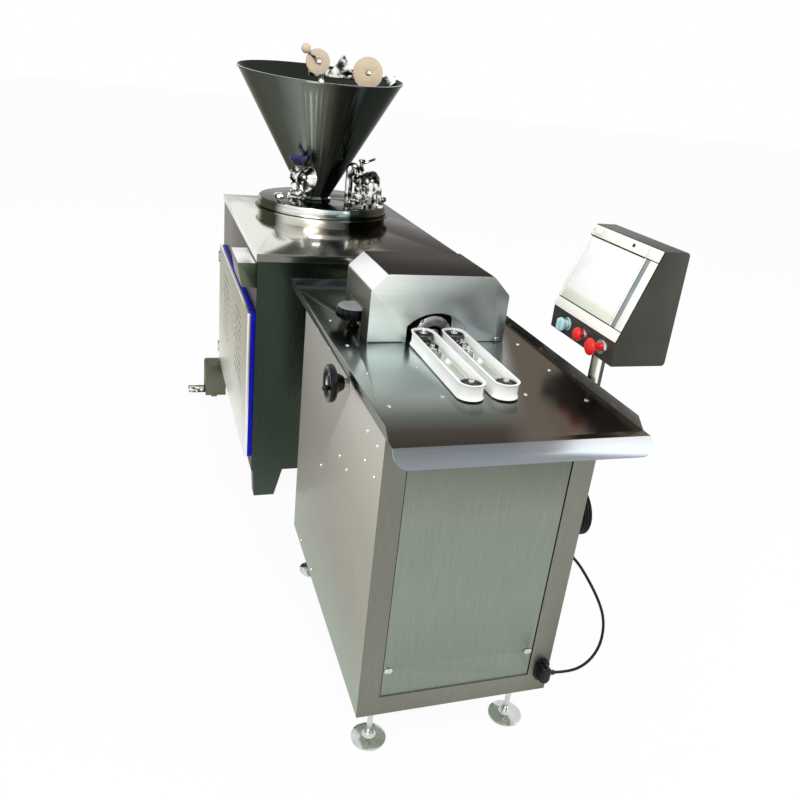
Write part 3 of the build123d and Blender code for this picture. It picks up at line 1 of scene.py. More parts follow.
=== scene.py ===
import json
from math import cos, pi, radians, sin

import bpy
from mathutils import Matrix, Vector

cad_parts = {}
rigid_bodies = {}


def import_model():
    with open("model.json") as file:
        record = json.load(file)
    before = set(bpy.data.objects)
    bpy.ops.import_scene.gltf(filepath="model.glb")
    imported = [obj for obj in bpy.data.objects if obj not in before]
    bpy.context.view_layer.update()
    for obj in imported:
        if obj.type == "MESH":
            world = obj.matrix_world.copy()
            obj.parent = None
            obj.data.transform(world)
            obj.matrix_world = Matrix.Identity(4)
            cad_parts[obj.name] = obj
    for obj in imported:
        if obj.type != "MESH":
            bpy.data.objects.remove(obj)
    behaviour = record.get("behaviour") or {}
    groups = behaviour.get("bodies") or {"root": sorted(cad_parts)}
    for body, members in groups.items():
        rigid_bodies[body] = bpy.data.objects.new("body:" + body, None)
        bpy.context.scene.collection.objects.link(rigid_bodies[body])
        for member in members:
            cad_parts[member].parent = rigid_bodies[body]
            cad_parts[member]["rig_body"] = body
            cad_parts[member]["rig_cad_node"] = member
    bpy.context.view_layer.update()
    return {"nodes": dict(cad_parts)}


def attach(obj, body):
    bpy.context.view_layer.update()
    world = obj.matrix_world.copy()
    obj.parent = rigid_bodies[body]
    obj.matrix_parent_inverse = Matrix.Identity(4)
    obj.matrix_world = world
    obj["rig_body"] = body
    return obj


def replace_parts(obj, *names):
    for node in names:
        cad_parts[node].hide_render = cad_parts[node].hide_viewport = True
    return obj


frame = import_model()
cad = frame["nodes"]
bpy.ops.object.select_all(action="DESELECT")

# Places are written in millimetres from the linker cabinet's front left corner on the floor,
# as on its drawings, and moved to the frame, whose origin is the middle of the footprint.
DRAWING_ORIGIN = Vector((235.913, 1257.5, 0))


def mm(x, y, z):
    """A place on the drawings as a point of the frame, in metres."""
    return (Vector((x, y, z)) - DRAWING_ORIGIN) / 1000


# Materials

def paint(code):
    """A colour written as sRGB hex, as the linear colour that a shader takes."""
    levels = [int(code[i:i + 2], 16) / 255 for i in (1, 3, 5)]
    return [v / 12.92 if v <= 0.04045 else ((v + 0.055) / 1.055) ** 2.4 for v in levels] + [1]


def add(tree, kind, settings=None, links=None):
    """Adds one shader node with its settings and what is plugged into it."""
    node = tree.nodes.new("ShaderNode" + kind)
    for name, value in (settings or {}).items():
        if isinstance(name, str) and hasattr(node, name):
            setattr(node, name, value)
        else:
            node.inputs[name].default_value = value
    for name, source in (links or {}).items():
        tree.links.new(source, node.inputs[name])
    return node


def new_material(name, roughness, metallic=0.0, **shader_settings):
    material = bpy.data.materials.new(name)
    material.use_nodes = True
    shader = material.node_tree.nodes["Principled BSDF"]
    shader.inputs["Roughness"].default_value = roughness
    shader.inputs["Metallic"].default_value = metallic
    for key, value in shader_settings.items():
        shader.inputs[key.replace("_", " ").title().replace("Ior", "IOR")].default_value = value
    return material, material.node_tree, shader


def pattern(tree, scale, detail=3.0, roughness=0.5):
    """Noise on the piece's own place; scale is repeats per metre along x, y and z."""
    place = add(tree, "TexCoord").outputs["Object"]
    spread = add(tree, "Mapping", {"Scale": scale}, {"Vector": place})
    settings = {"Scale": 1.0, "Detail": detail, "Roughness": roughness}
    return add(tree, "TexNoise", settings, {"Vector": spread.outputs["Vector"]})


def blend_colours(tree, factor, stops):
    """A ramp through hex colours at given places of the factor."""
    ramp = add(tree, "ValToRGB", {}, {"Fac": factor})
    bar = ramp.color_ramp
    while len(bar.elements) < len(stops):
        bar.elements.new(0.5)
    for element, (place, code) in zip(bar.elements, stops):
        element.position = place
        element.color = paint(code)
    return ramp.outputs["Color"]


def along_line(tree, start, end):
    """How far a point of the piece lies from start to end, both drawing places, as 0 to 1."""
    line = Vector(mm(*end)) - Vector(mm(*start))
    place = add(tree, "TexCoord").outputs["Object"]
    offset = add(tree, "VectorMath", {"operation": "SUBTRACT", 1: mm(*start)}, {0: place})
    share = add(tree, "VectorMath", {"operation": "DOT_PRODUCT", 1: line / line.length_squared},
                {0: offset.outputs["Vector"]})
    return share.outputs["Value"]


def round_axis(tree, middle):
    """The turn about an upright axis as 0 to 1, with 0.5 towards the front."""
    place = add(tree, "TexCoord").outputs["Object"]
    offset = add(tree, "VectorMath", {"operation": "SUBTRACT", 1: mm(*middle)}, {0: place})
    parts = add(tree, "SeparateXYZ", {}, {0: offset.outputs["Vector"]})
    forward = add(tree, "Math", {"operation": "MULTIPLY", 1: -1.0}, {0: parts.outputs["Y"]})
    angle = add(tree, "Math", {"operation": "ARCTAN2"}, {0: parts.outputs["X"], 1: forward.outputs[0]})
    share = add(tree, "Math", {"operation": "MULTIPLY_ADD", 1: 0.5 / pi, 2: 0.5}, {0: angle.outputs[0]})
    return share.outputs[0]


def wandering(tree, share, noise, amount):
    """A share that noise pushes to and fro, so that its bands aren't ruled lines."""
    push = add(tree, "Math", {"operation": "MULTIPLY_ADD", 1: amount, 2: -amount / 2}, {0: noise})
    return add(tree, "Math", {"operation": "ADD"}, {0: share, 1: push.outputs[0]}).outputs[0]


def tinted(tree, colour, share, code):
    """A colour that turns into another, written as hex, as the share goes from 0 to 1."""
    mixed = add(tree, "Mix", {"data_type": "RGBA", 7: paint(code)}, {0: share, 6: colour})
    return mixed.outputs[2]


def paint_reflection_by_facing(tree, colour, direction, code, low, high):
    """Painted reflection: faces that look along a direction take another tone, standing in for the part of
    the room that they would mirror.
    """
    facing = add(tree, "TexCoord").outputs["Normal"]
    turn = add(tree, "VectorMath", {"operation": "DOT_PRODUCT", 1: Vector(direction).normalized()},
               {0: facing})
    share = add(tree, "MapRange", {"From Min": low, "From Max": high}, {"Value": turn.outputs["Value"]})
    return tinted(tree, colour, share.outputs[0], code)


def surface_relief(tree, shader, height, roughness, spread, strength, depth):
    """Fine noise as relief, with its depth in mm, and as a roughness from 0.8 times to spread times."""
    rough = add(tree, "MapRange", {"To Min": roughness * 0.8, "To Max": min(1.0, roughness * spread)},
                {"Value": height})
    tree.links.new(rough.outputs[0], shader.inputs["Roughness"])
    bump = add(tree, "Bump", {"Strength": strength, "Distance": depth / 1000}, {"Height": height})
    tree.links.new(bump.outputs["Normal"], shader.inputs["Normal"])


def rolled_steel(name, tones, roughness, cloud, grain, scratch=0.012, spread=0.10, along=None, around=None,
                 wander=0.3, painted_reflection_patches=(), painted_facing_tones=()):
    """Stainless sheet: tones drift over it as painted reflections of the room, and the
    brushing shows as fine lines along the grain's short scale. At a grazing look it keeps half
    its tone. A painted reflection patch fades into another tone from a start place to an end
    place, and faces that look along given directions take painted reflection tones."""
    material, tree, shader = new_material(name, roughness, 1.0)
    drift = pattern(tree, cloud, 1.5, 0.45).outputs["Fac"]
    if along:
        drift = wandering(tree, along_line(tree, *along), drift, wander)
    if around:
        drift = wandering(tree, round_axis(tree, around), drift, wander)
    colour = blend_colours(tree, drift, tones)
    # Painted reflections: patches of another tone where the sheet would mirror something.
    for start, end, code in painted_reflection_patches:
        share = add(tree, "MapRange", {"interpolation_type": "SMOOTHSTEP"},
                    {"Value": along_line(tree, start, end)})
        colour = tinted(tree, colour, share.outputs[0], code)
    # Painted reflections by the way each face looks.
    for direction, code, low, high in painted_facing_tones:
        colour = paint_reflection_by_facing(tree, colour, direction, code, low, high)
    lines = pattern(tree, grain, 4.0, 0.6).outputs["Fac"]
    limits = {"From Min": 0.3, "From Max": 0.7, "To Min": 1 - spread, "To Max": 1 + spread}
    soft = add(tree, "MapRange", limits, {"Value": lines})
    toned = add(tree, "Mix", {"data_type": "RGBA", "blend_type": "MULTIPLY", 0: 1.0},
                {6: colour, 7: soft.outputs[0]})
    tree.links.new(toned.outputs[2], shader.inputs["Base Color"])
    grazing = add(tree, "Mix", {"data_type": "RGBA", 0: 0.5, 6: (1, 1, 1, 1)}, {7: toned.outputs[2]})
    tree.links.new(grazing.outputs[2], shader.inputs["Specular Tint"])
    surface_relief(tree, shader, lines, roughness, 1.25, 0.25, scratch)
    return material


def plain(name, tones, roughness, grit=400.0, depth=0.02, metallic=0.0, tone_size=12.0, **more):
    """Moulded, cast or turned stuff: two close tones and a fine surface grit."""
    material, tree, shader = new_material(name, roughness, metallic, **more)
    drift = pattern(tree, (tone_size,) * 3, 2.0).outputs["Fac"]
    colour = blend_colours(tree, drift, [(0.35, tones[0]), (0.65, tones[1])])
    tree.links.new(colour, shader.inputs["Base Color"])
    fine = pattern(tree, (grit,) * 3, 2.0).outputs["Fac"]
    surface_relief(tree, shader, fine, roughness, 1.2, 0.4, depth)
    return material


UP, LEFT, FRONT, RIGHT = (0, 0, 1), (-1, 0, 0), (0, -1, 0), (1, 0, 0)
LEFT_SLOPE, RIGHT_SLOPE = (-0.7, 0, 0.7), (0.7, 0, 0.7)

# Rolled stainless sheet with a satin, slightly green grey look, and painted shade that darkens it under
# the table's lip; brush lines are drawn at 2 mm, far coarser than the real 0.1 mm grit, so that they show.
front_panel_steel = rolled_steel(
    "satin_stainless_front", [(0.0, "#899287"), (0.45, "#8F988C"), (0.72, "#8B9388"), (0.95, "#74796F")],
    0.36, (2.2, 2.2, 3.0), (500, 500, 12), along=((275, 0, 120), (275, 0, 960)))
# The same sheet on the linker's left flank, with painted reflections that make it greener low down and paler
# near the table.
side_panel_steel = rolled_steel(
    "satin_stainless_side", [(0.05, "#B4BDAF"), (0.35, "#B2B0A4"), (0.65, "#B6B4A8"), (1.0, "#CBC9BF")],
    0.36, (2.0, 1.2, 2.0), (500, 500, 12), along=((0, 300, 120), (0, 300, 980)))
# Folded stiles and rails: same sheet across the grain, painted darker and browner for how it reflects across
# the grain.
frame_steel = rolled_steel("satin_stainless_stiles", [(0.3, "#76776A"), (0.6, "#86877D")],
                           0.4, (3, 3, 1.5), (400, 400, 14))
# Polished work surface: nearly a mirror, with painted reflections: pale blue grey beside the belts and
# brighter where it would mirror the hood, brown grey towards its front and its right, bright along its
# rolled lip, with two painted reflection patches of darker tone.
table_steel = rolled_steel(
    "polished_stainless_table",
    [(0.0, "#3E3A33"), (0.06, "#4A463F"), (0.12, "#666A64"), (0.20, "#979E9A"), (0.34, "#B4BDBC"),
     (0.44, "#DDE6E8"), (0.52, "#D2DADC"), (0.60, "#8F9694")],
    0.2, (1.5, 2.5, 1), (6, 300, 6), 0.003, 0.04, along=((60, -95, 0), (60, 1115, 0)), wander=0.08,
    painted_reflection_patches=(((372, 300, 0), (455, 270, 0), "#665E55"), ((110, 470, 0), (60, 560, 0), "#656C64")),
    painted_facing_tones=((FRONT, "#8E959B", 0.5, 0.9), (LEFT, "#8C8E88", 0.6, 0.95)))
# Brushed hood in painted reflections: pale at its lower left, blue grey on its front, brown black on
# top, and a painted white reflection on the chamfer where it would mirror the window.
hood_steel = rolled_steel(
    "brushed_stainless_hood",
    [(0.0, "#FAFEF8"), (0.2, "#E6EDE6"), (0.45, "#C6CFCE"), (0.75, "#AEB7B6"), (1.0, "#9DA5A1")],
    0.4, (3, 3, 6), (12, 400, 400), along=((110, 544, 1010), (500, 544, 1150)), wander=0.2, spread=0.04,
    painted_facing_tones=((UP, "#3A3630", 0.72, 0.93), (LEFT_SLOPE, "#FFFFFF", 0.95, 0.985), (LEFT, "#7A7970", 0.75, 0.95),
           (RIGHT_SLOPE, "#5A5A54", 0.8, 0.95), (RIGHT, "#84867F", 0.8, 0.95)))
# Painted reflections: the side box is painted bright on its top, where it would mirror the ceiling, and green
# grey in front.
filler_steel = rolled_steel(
    "satin_stainless_filler", [(0.0, "#F0F1EE"), (0.35, "#C9C8BB"), (0.7, "#B4B2A2"), (1.0, "#8E8D80")],
    0.34, (2, 2, 3), (400, 400, 12), 0.003, 0.03, along=((0, 0, 200), (0, 0, 1000)),
    painted_facing_tones=((FRONT, "#667060", 0.6, 0.9), (UP, "#FFFFFF", 0.5, 0.9)))
# Painted reflections: the door is painted paler towards the floor and at its front edge, which would mirror a
# pale room.
door_steel = rolled_steel(
    "satin_stainless_door", [(0.0, "#F4F5F2"), (0.35, "#D3D2C6"), (0.7, "#BDBBAA"), (1.0, "#B7B5A6")],
    0.34, (2, 2, 3), (400, 400, 12), along=((0, 0, 200), (0, 0, 800)),
    painted_facing_tones=((FRONT, "#FAFAF8", 0.6, 0.9), (UP, "#FFFFFF", 0.5, 0.9)))
# The strip of wall above the door lies in the shade of the cap's lip.
wall_steel = rolled_steel(
    "satin_stainless_shaded_wall", [(0.2, "#8C897F"), (0.5, "#6E6B63"), (0.8, "#56534C")],
    0.34, (2, 30, 2), (400, 400, 12), along=((0, 2637, 0), (0, 1400, 0)), wander=0.5,
    painted_facing_tones=((FRONT, "#5B6353", 0.6, 0.9),))
# Pedal housing: the same sheet near the floor, painted olive as a reflection of the wall beside it.
pedal_box_steel = rolled_steel("satin_stainless_pedal_box", [(0.3, "#5F604F"), (0.6, "#6D6E5E")],
                               0.36, (5, 5, 5), (400, 400, 12))
# Painted reflection: the filler's front faces a dark room, so its mirror finish is painted nearly black
# green.
dark_steel = rolled_steel("satin_stainless_dark_reflection", [(0.25, "#2C352C"), (0.5, "#3D473D"), (0.75, "#525E52")],
                          0.26, (2, 2, 1.2), (300, 300, 10))
# Painted shade: the casting deep behind the ring is coloured near black for the unlit depth there.
cavity_steel = plain("shade_black_casting", ("#030403", "#080908"), 0.8, 300, 0.02, specular_ior_level=0.05)
# Painted reflections: the hopper's cone is coloured with the dark room that it mirrors in soft upright
# bands, with a pale one in front; a painted highlight makes its rim bright from above.
hopper_steel = rolled_steel(
    "polished_stainless_hopper",
    [(0.0, "#2A2F2A"), (0.22, "#33362D"), (0.30, "#47493E"), (0.37, "#4B5048"), (0.43, "#747B74"),
     (0.48, "#737A74"), (0.52, "#666C6A"), (0.56, "#202421"), (0.64, "#2B302A"), (0.72, "#3A3F39"),
     (1.0, "#2A2F2A")],
    0.2, (6, 6, 0.8), (300, 300, 8), around=(273.5, 2184, 0), wander=0.05,
    painted_facing_tones=((UP, "#FFFFFF", 0.88, 0.97),))
# Painted reflections: the round lid and pump ring are coloured with windows and dark doors that they mirror,
# as upright bands.
lid_steel = rolled_steel(
    "polished_stainless_lid",
    [(0.0, "#77786F"), (0.25, "#C9C9C0"), (0.283, "#4A4C3E"), (0.345, "#3B3E2F"), (0.375, "#D9DBD4"),
     (0.43, "#F6F7F3"), (0.47, "#E4E8E6"), (0.485, "#AFBBBD"), (0.52, "#93A1A2"), (0.535, "#151A17"),
     (0.575, "#1A1E19"), (0.62, "#4A4538"), (0.72, "#5F5C50"), (1.0, "#77786F")],
    0.16, (3, 3, 1), (10, 10, 300), 0.003, 0.03, around=(310, 2176, 0), wander=0.015,
    painted_facing_tones=((UP, "#5E605B", 0.75, 0.95),))
# Painted reflections: the cap is coloured as if it mirrored a bright wall on its left and a brown one on its
# right.
top_steel = rolled_steel(
    "polished_stainless_tops",
    [(0.0, "#ECECE4"), (0.3, "#EEEEE8"), (0.5, "#A69D90"), (0.65, "#5A544B"), (1.0, "#3A352E")],
    0.16, (3, 3, 3), (10, 300, 10), 0.003, 0.04, along=((-98, 1500, 0), (744, 1700, 0)), wander=0.2,
    painted_facing_tones=((FRONT, "#7A7C74", 0.6, 0.9), (LEFT, "#F4F4F1", 0.6, 0.9)))
# Painted highlight: the round post is coloured with one white stripe between grey ones, as polished tube
# shows.
post_steel = rolled_steel(
    "polished_stainless_post",
    [(0.0, "#77756B"), (0.3, "#A19F94"), (0.4, "#FFFFFF"), (0.58, "#FFFFFF"), (0.66, "#55534A"),
     (1.0, "#5F5D54")],
    0.2, (9, 60, 2), (10, 300, 10), 0.003, 0.04, along=((627, 226, 0), (663, 214, 0)), wander=0.05)
# Milled and polished belt beams, painted pale as a reflection of the belts that they mirror.
beam_steel = rolled_steel("milled_stainless_beams", [(0.3, "#D3D9D2"), (0.6, "#F2F6F0")],
                          0.22, (12, 3, 12), (300, 8, 300), 0.004, 0.05)
# Brushed ring: a fine turned finish that stays mid grey.
ring_steel = rolled_steel("brushed_stainless_ring", [(0.3, "#5C5D5C"), (0.5, "#8B8B8A"), (0.7, "#B0B0AF")],
                          0.3, (22, 22, 22), (300, 300, 300), 0.006, 0.05)
# Turned and polished fittings, which mirror the whole room.
bright_steel = plain("turned_stainless", ("#C4C6C4", "#D9DAD8"), 0.14, 300, 0.004, 1.0, 40)
# Polished fittings with painted reflections of windows and shadows in spots a centimetre or two across.
chrome = rolled_steel(
    "polished_stainless_fittings",
    [(0.36, "#2B2C28"), (0.45, "#77786F"), (0.52, "#D5D6D2"), (0.62, "#FAFAF8")],
    0.1, (38, 38, 38), (300, 300, 300), 0.002, 0.02)
# Cast motor and gearbox housings under blue grey paint, with the grain of the casting.
casting = plain("painted_casting", ("#3F444A", "#4C5158"), 0.55, 350, 0.05)
# Polyurethane belts: matt white with a faint warm tone where they are handled.
belt_rubber = plain("white_polyurethane", ("#F6F6F2", "#FFFFFF"), 0.4, 500, 0.02)
# Dished cast pulleys, painted dark as a reflection of the belt's shadow that they mirror.
pulley_steel = plain("cast_stainless_shadow_reflection", ("#4A4D4A", "#6A6E6D"), 0.3, 300, 0.02, 1.0, 30)
# Pressed bakelite: deep black with a soft gloss.
black_bakelite = plain("black_bakelite", ("#060708", "#0B0C0D"), 0.25, 300, 0.01, specular_ior_level=0.25)
# Extruded rubber jacket, matt black.
jacket = plain("black_cable_jacket", ("#050506", "#0B0B0C"), 0.5, 800, 0.02, specular_ior_level=0.25)
# Moulded ABS in a warm white, half matt.
ivory_frame = plain("ivory_abs", ("#F6F4EA", "#FDFCF6"), 0.35, 500, 0.01)
# What lies deep in a joint, where hardly any light comes.
seam_black = plain("shadowed_seam", ("#101110", "#171816"), 0.6, 300, 0.01)
# Moulded ABS in a cool grey, in the recess beside the screen.
recess_grey = plain("grey_abs_recess", ("#7F8C8E", "#95A1A3"), 0.4, 300, 0.01, tone_size=25)
# Moulded ABS cover, a little paler than the recess.
knob_grey = plain("grey_abs_cover", ("#8A9194", "#9CA3A6"), 0.35, 300, 0.01)
# Moulded nylon button, signal red with a clear gloss.
stop_red = plain("red_nylon_button", ("#DD120D", "#EE1E17"), 0.3, 400, 0.01)
# Moulded ABS knob, pale sky blue.
pale_blue = plain("pale_blue_abs", ("#B4DCE4", "#C6E8EE"), 0.3, 400, 0.01)
# Extruded silicone seal, deep blue and nearly matt.
seal_blue = plain("blue_silicone", ("#0409A0", "#0610B8"), 0.5, 400, 0.02, specular_ior_level=0.15)
# Turned nylon discs, beige and slightly waxy.
nylon = plain("beige_nylon", ("#DCC9B2", "#E6D2B0"), 0.45, 300, 0.02)


def lever_material():
    """Moulded navy polyamide wing, with a painted highlight along its top edge and painted shade that turns
    it nearly black down to its pin.
    """
    material, tree, shader = new_material("navy_polyamide", 0.35)
    drift = pattern(tree, (60, 60, 60), 2.0).outputs["Fac"]
    share = wandering(tree, along_line(tree, (154, 2012, 1262), (154, 2012, 1352)), drift, 0.1)
    tones = [(0.0, "#06080F"), (0.5, "#0C1238"), (0.75, "#16248C"), (0.95, "#2A41B8")]
    colour = blend_colours(tree, share, tones)
    tree.links.new(colour, shader.inputs["Base Color"])
    return material


lever_navy = lever_material()
# Painted console housing: dark warm grey, a little paler where hands rub its side.
console_steel = plain("dark_grey_enamel", ("#34342E", "#3D3C36"), 0.45, 350, 0.01, tone_size=7,
                      specular_ior_level=0.3)


def screen_material():
    """Anti-glare glass over a white display, with a pale greenish band along its foot."""
    material, tree, shader = new_material("pale_screen_glass", 0.12)
    share = along_line(tree, (600, 0, 1185), (672, 0, 1360))
    drift = pattern(tree, (9, 9, 9), 2.0).outputs["Fac"]
    share = wandering(tree, share, drift, 0.06)
    colour = blend_colours(tree, share, [(0.0, "#DDE8D6"), (0.14, "#EDEFDD"), (0.2, "#FBFDFB"),
                                         (0.9, "#FDFEFE"), (1.0, "#E3F0EC")])
    tree.links.new(colour, shader.inputs["Base Color"])
    fine = pattern(tree, (700, 700, 700), 2.0).outputs["Fac"]
    bump = add(tree, "Bump", {"Strength": 0.2, "Distance": 0.000002}, {"Height": fine})
    tree.links.new(bump.outputs["Normal"], shader.inputs["Normal"])
    return material


screen_glass = screen_material()

finishes = {
    front_panel_steel: ["front_service_panel"],
    side_panel_steel: ["left_side_panel", "right_side_panel", "back_and_base"],
    frame_steel: ["front_frame"],
    table_steel: ["worktable"],
    hood_steel: ["hood"],
    filler_steel: ["side_box"],
    door_steel: ["side_door"],
    wall_steel: ["filler_left_wall"],
    pedal_box_steel: ["pedal_housing"],
    dark_steel: ["filler_casing", "filler_base"],
    cavity_steel: ["ring_housing"],
    pulley_steel: ["left_drive_pulley", "left_idler_pulley", "right_drive_pulley", "right_idler_pulley"],
    hopper_steel: ["hopper"],
    lid_steel: ["lid", "pump_housing"],
    top_steel: ["filler_top_plate", "transfer_pipe"],
    beam_steel: ["belt_beams"],
    post_steel: ["console_post"],
    ring_steel: ["twist_ring"],
    bright_steel: ["left_panel_lock", "right_panel_lock", "levelling_feet", "panel_screws",
                   "handwheel_shaft", "pulley_pins", "stuffing_tube", "hood_hinges", "union_nuts",
                   "button_collars", "pump_rotor"],
    chrome: ["belt_tensioners", "foot_pedal", "scraper", "valve_bodies", "right_valve_lever"],
    casting: ["linker_drive", "pump_drive"],
    belt_rubber: ["left_belt", "right_belt"],
    black_bakelite: ["handwheel", "setting_knob", "cable_glands"],
    jacket: ["control_cable", "spare_cable_coil"],
    ivory_frame: ["console_bezel"],
    screen_glass: ["console_screen"],
    stop_red: ["near_stop_button", "far_stop_button"],
    pale_blue: ["selector_knob"],
    seal_blue: ["door_gasket"],
    nylon: ["nylon_discs"],
    lever_navy: ["left_valve_lever"],
    console_steel: ["console_housing"],
}
finish_of = {}
for material, names in finishes.items():
    for name in names:
        finish_of[name] = material
        cad[name].data.materials.clear()
        cad[name].data.materials.append(material)


# Ways of making a piece

def finish_piece(piece, name, material, body, corner=30):
    """Puts a piece's place into its mesh, smooths its curves and hands it to its body."""
    piece.name = name
    piece.data.name = name
    bpy.ops.object.select_all(action="DESELECT")
    piece.select_set(True)
    bpy.context.view_layer.objects.active = piece
    bpy.ops.object.transform_apply(location=True, rotation=True, scale=True)
    bpy.ops.object.shade_smooth_by_angle(angle=radians(corner))
    piece.data.materials.clear()
    piece.data.materials.append(material)
    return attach(piece, body)


def turned(name, outline, place, axis, material, body, slot, sides=48, corner=30):
    """A round piece: a circle drawn out ring by ring through pairs of radius and height in mm."""
    along = Vector(axis).normalized()
    bpy.ops.object.select_all(action="DESELECT")
    radius, height = max(outline[0][0], 0.004), outline[0][1]
    bpy.ops.mesh.primitive_circle_add(vertices=sides, radius=radius / 1000,
                                      location=mm(*place) + along * height / 1000,
                                      rotation=along.to_track_quat("Z", "Y").to_euler())
    piece = bpy.context.active_object
    bpy.ops.object.mode_set(mode="EDIT")
    bpy.ops.mesh.select_all(action="SELECT")
    for next_radius, next_height in outline[1:]:
        next_radius = max(next_radius, 0.004)
        bpy.ops.mesh.extrude_region_move(
            TRANSFORM_OT_translate={"value": along * (next_height - height) / 1000})
        bpy.ops.transform.resize(value=(next_radius / radius,) * 3)
        radius, height = next_radius, next_height
    bpy.ops.mesh.select_all(action="SELECT")
    bpy.ops.mesh.remove_doubles(threshold=0.00001)
    bpy.ops.mesh.normals_make_consistent(inside=False)
    bpy.ops.object.mode_set(mode="OBJECT")
    return finish_piece(piece, name, material, body, corner)


def bar(name, low, high, material, body, slot, edge=1.0, steps=2, lean=0.0):
    """A block between two corners with eased edges, leaned back about its middle by degrees."""
    bpy.ops.object.select_all(action="DESELECT")
    size = [(b - a) / 1000 for a, b in zip(low, high)]
    middle = mm(*[(a + b) / 2 for a, b in zip(low, high)])
    bpy.ops.mesh.primitive_cube_add(size=1, location=middle)
    piece = bpy.context.active_object
    piece.scale = size
    bpy.ops.object.transform_apply(location=False, rotation=False, scale=True)
    bpy.ops.object.mode_set(mode="EDIT")
    bpy.ops.mesh.select_all(action="SELECT")
    bpy.ops.mesh.bevel(offset=edge / 1000, segments=steps, affect="EDGES", clamp_overlap=True)
    bpy.ops.object.mode_set(mode="OBJECT")
    piece.rotation_euler = (0, radians(lean), 0)
    return finish_piece(piece, name, material, body, 40)


def smooth_curve(name, points, thickness, rounds):
    """A round rod along given points of the drawings, as one smooth curve."""
    curve = bpy.data.curves.new(name, "CURVE")
    curve.dimensions = "3D"
    line = curve.splines.new("NURBS")
    line.points.add(len(points) - 1)
    for spot, point in zip(line.points, points):
        spot.co = (*mm(*point), 1)
    line.order_u = 3
    line.use_endpoint_u = True
    curve.bevel_depth = thickness / 2000
    curve.bevel_resolution = rounds
    piece = bpy.data.objects.new(name, curve)
    bpy.context.scene.collection.objects.link(piece)
    return piece


def bent_tube(name, points, thickness, material, body, slot):
    """A round pipe with closed ends, rounded at its bends."""
    piece = smooth_curve(name, points, thickness, 6)
    piece.data.resolution_u = 8
    piece.data.use_fill_caps = True
    bpy.ops.object.select_all(action="DESELECT")
    piece.select_set(True)
    bpy.context.view_layer.objects.active = piece
    bpy.ops.object.convert(target="MESH")
    return finish_piece(bpy.context.active_object, name, material, body, 50)


def dressed(node, body, edge):
    """A copy of a CAD node with its facets merged, its curves smooth and its edges eased."""
    corner = 28
    piece = cad[node].copy()
    piece.data = cad[node].data.copy()
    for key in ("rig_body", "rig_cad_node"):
        del piece[key]
    bpy.context.scene.collection.objects.link(piece)
    piece.parent = None
    bpy.ops.object.select_all(action="DESELECT")
    piece.select_set(True)
    bpy.context.view_layer.objects.active = piece
    if piece.data.has_custom_normals:
        bpy.ops.mesh.customdata_custom_splitnormals_clear()
    bpy.ops.object.mode_set(mode="EDIT")
    bpy.ops.mesh.select_all(action="SELECT")
    bpy.ops.mesh.remove_doubles(threshold=0.00001)
    bpy.ops.mesh.dissolve_limited(angle_limit=radians(0.6))
    bpy.ops.object.mode_set(mode="OBJECT")
    if edge:
        ease = piece.modifiers.new("eased_edges", "BEVEL")
        ease.width = edge / 1000
        ease.segments = 2
        ease.limit_method = "ANGLE"
        ease.angle_limit = radians(corner)
        bpy.ops.object.modifier_apply(modifier=ease.name)
    finish_piece(piece, "dressed_" + node, finish_of[node], body, corner)
    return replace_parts(piece, node)


# Sheet metal of both machines, with the eased edges that catch the light

for node, body, slot, edge in (
        ("front_frame", "frame", "olive_steel", 0.8),
        ("front_service_panel", "frame", "satin_steel", 0.8),
        ("left_side_panel", "frame", "satin_steel", 0.8),
        ("right_side_panel", "frame", "satin_steel", 0.8),
        ("worktable", "frame", "polished_steel", 0.7),
        ("hood", "hood_body", "satin_steel", 0.8),
        ("filler_casing", "frame", "dark_steel", 0.8),
        ("filler_top_plate", "frame", "polished_steel", 1.0),
        ("filler_left_wall", "frame", "satin_steel", 0.0),
        ("side_door", "door", "satin_steel", 0.8),
        ("door_gasket", "door", "blue_seal", 2.5),
        ("side_box", "frame", "satin_steel", 1.0),
        ("pedal_housing", "frame", "satin_steel", 1.0),
        ("foot_pedal", "pedal", "bright_steel", 0.8),
        ("pump_housing", "frame", "polished_steel", 0.8),
        ("lid", "hopper_unit", "polished_steel", 1.0),
        ("hopper", "hopper_unit", "dark_steel", 0.4),
        ("nylon_discs", "scraper_body", "nylon", 0.8),
        ("scraper", "scraper_body", "bright_steel", 0.5),
        ("left_valve_lever", "left_lever", "blue_plastic", 1.2),
        ("right_valve_lever", "right_lever", "bright_steel", 0.5),
        ("console_housing", "console", "dark_steel", 1.5),
        ("console_post", "frame", "polished_steel", 0.5),
        ("left_belt", "frame", "white_belt", 1.2),
        ("right_belt", "frame", "white_belt", 1.2),
        ("belt_beams", "frame", "polished_steel", 0.5),
        ("twist_ring", "ring", "bright_steel", 0.8),
        ("panel_screws", "frame", "bright_steel", 0.0),
        ("levelling_feet", "frame", "bright_steel", 0.0),
        ("setting_knob", "knob", "black_plastic", 1.0),
        ("cable_glands", "frame", "black_plastic", 0.8),
        ("belt_tensioners", "frame", "bright_steel", 0.5),
        ("left_panel_lock", "left_lock", "bright_steel", 0.5),
        ("right_panel_lock", "right_lock", "bright_steel", 0.5)):
    dressed(node, body, edge)


# Belt units: dished pulleys on studs with hexagon nuts

AXIS_X, HALF_PITCH, TABLE = 299.0, 46.5, 1000.0
REAR_Y, FRONT_Y = 508.0, 146.0
UNIT_X = {"left": AXIS_X - HALF_PITCH, "right": AXIS_X + HALF_PITCH}
DISH = [(8, 9.5), (28.4, 9.5), (28.6, 10), (28.6, 38.5), (28, 39.3), (26, 39.3), (24.5, 38.4), (23, 33),
        (20, 31.2), (14, 30.6), (13, 33.2), (12.4, 34), (5.3, 34), (5.3, 20), (8, 20), (8, 9.5)]
for side, x in UNIT_X.items():
    for kind, y in (("drive", REAR_Y), ("idler", FRONT_Y)):
        body = side + "_" + kind
        pulley = turned(body + "_dished_pulley", DISH, (x, y, TABLE), (0, 0, 1), pulley_steel, body,
                        "dark_steel", 64)
        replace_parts(pulley, body + "_pulley")

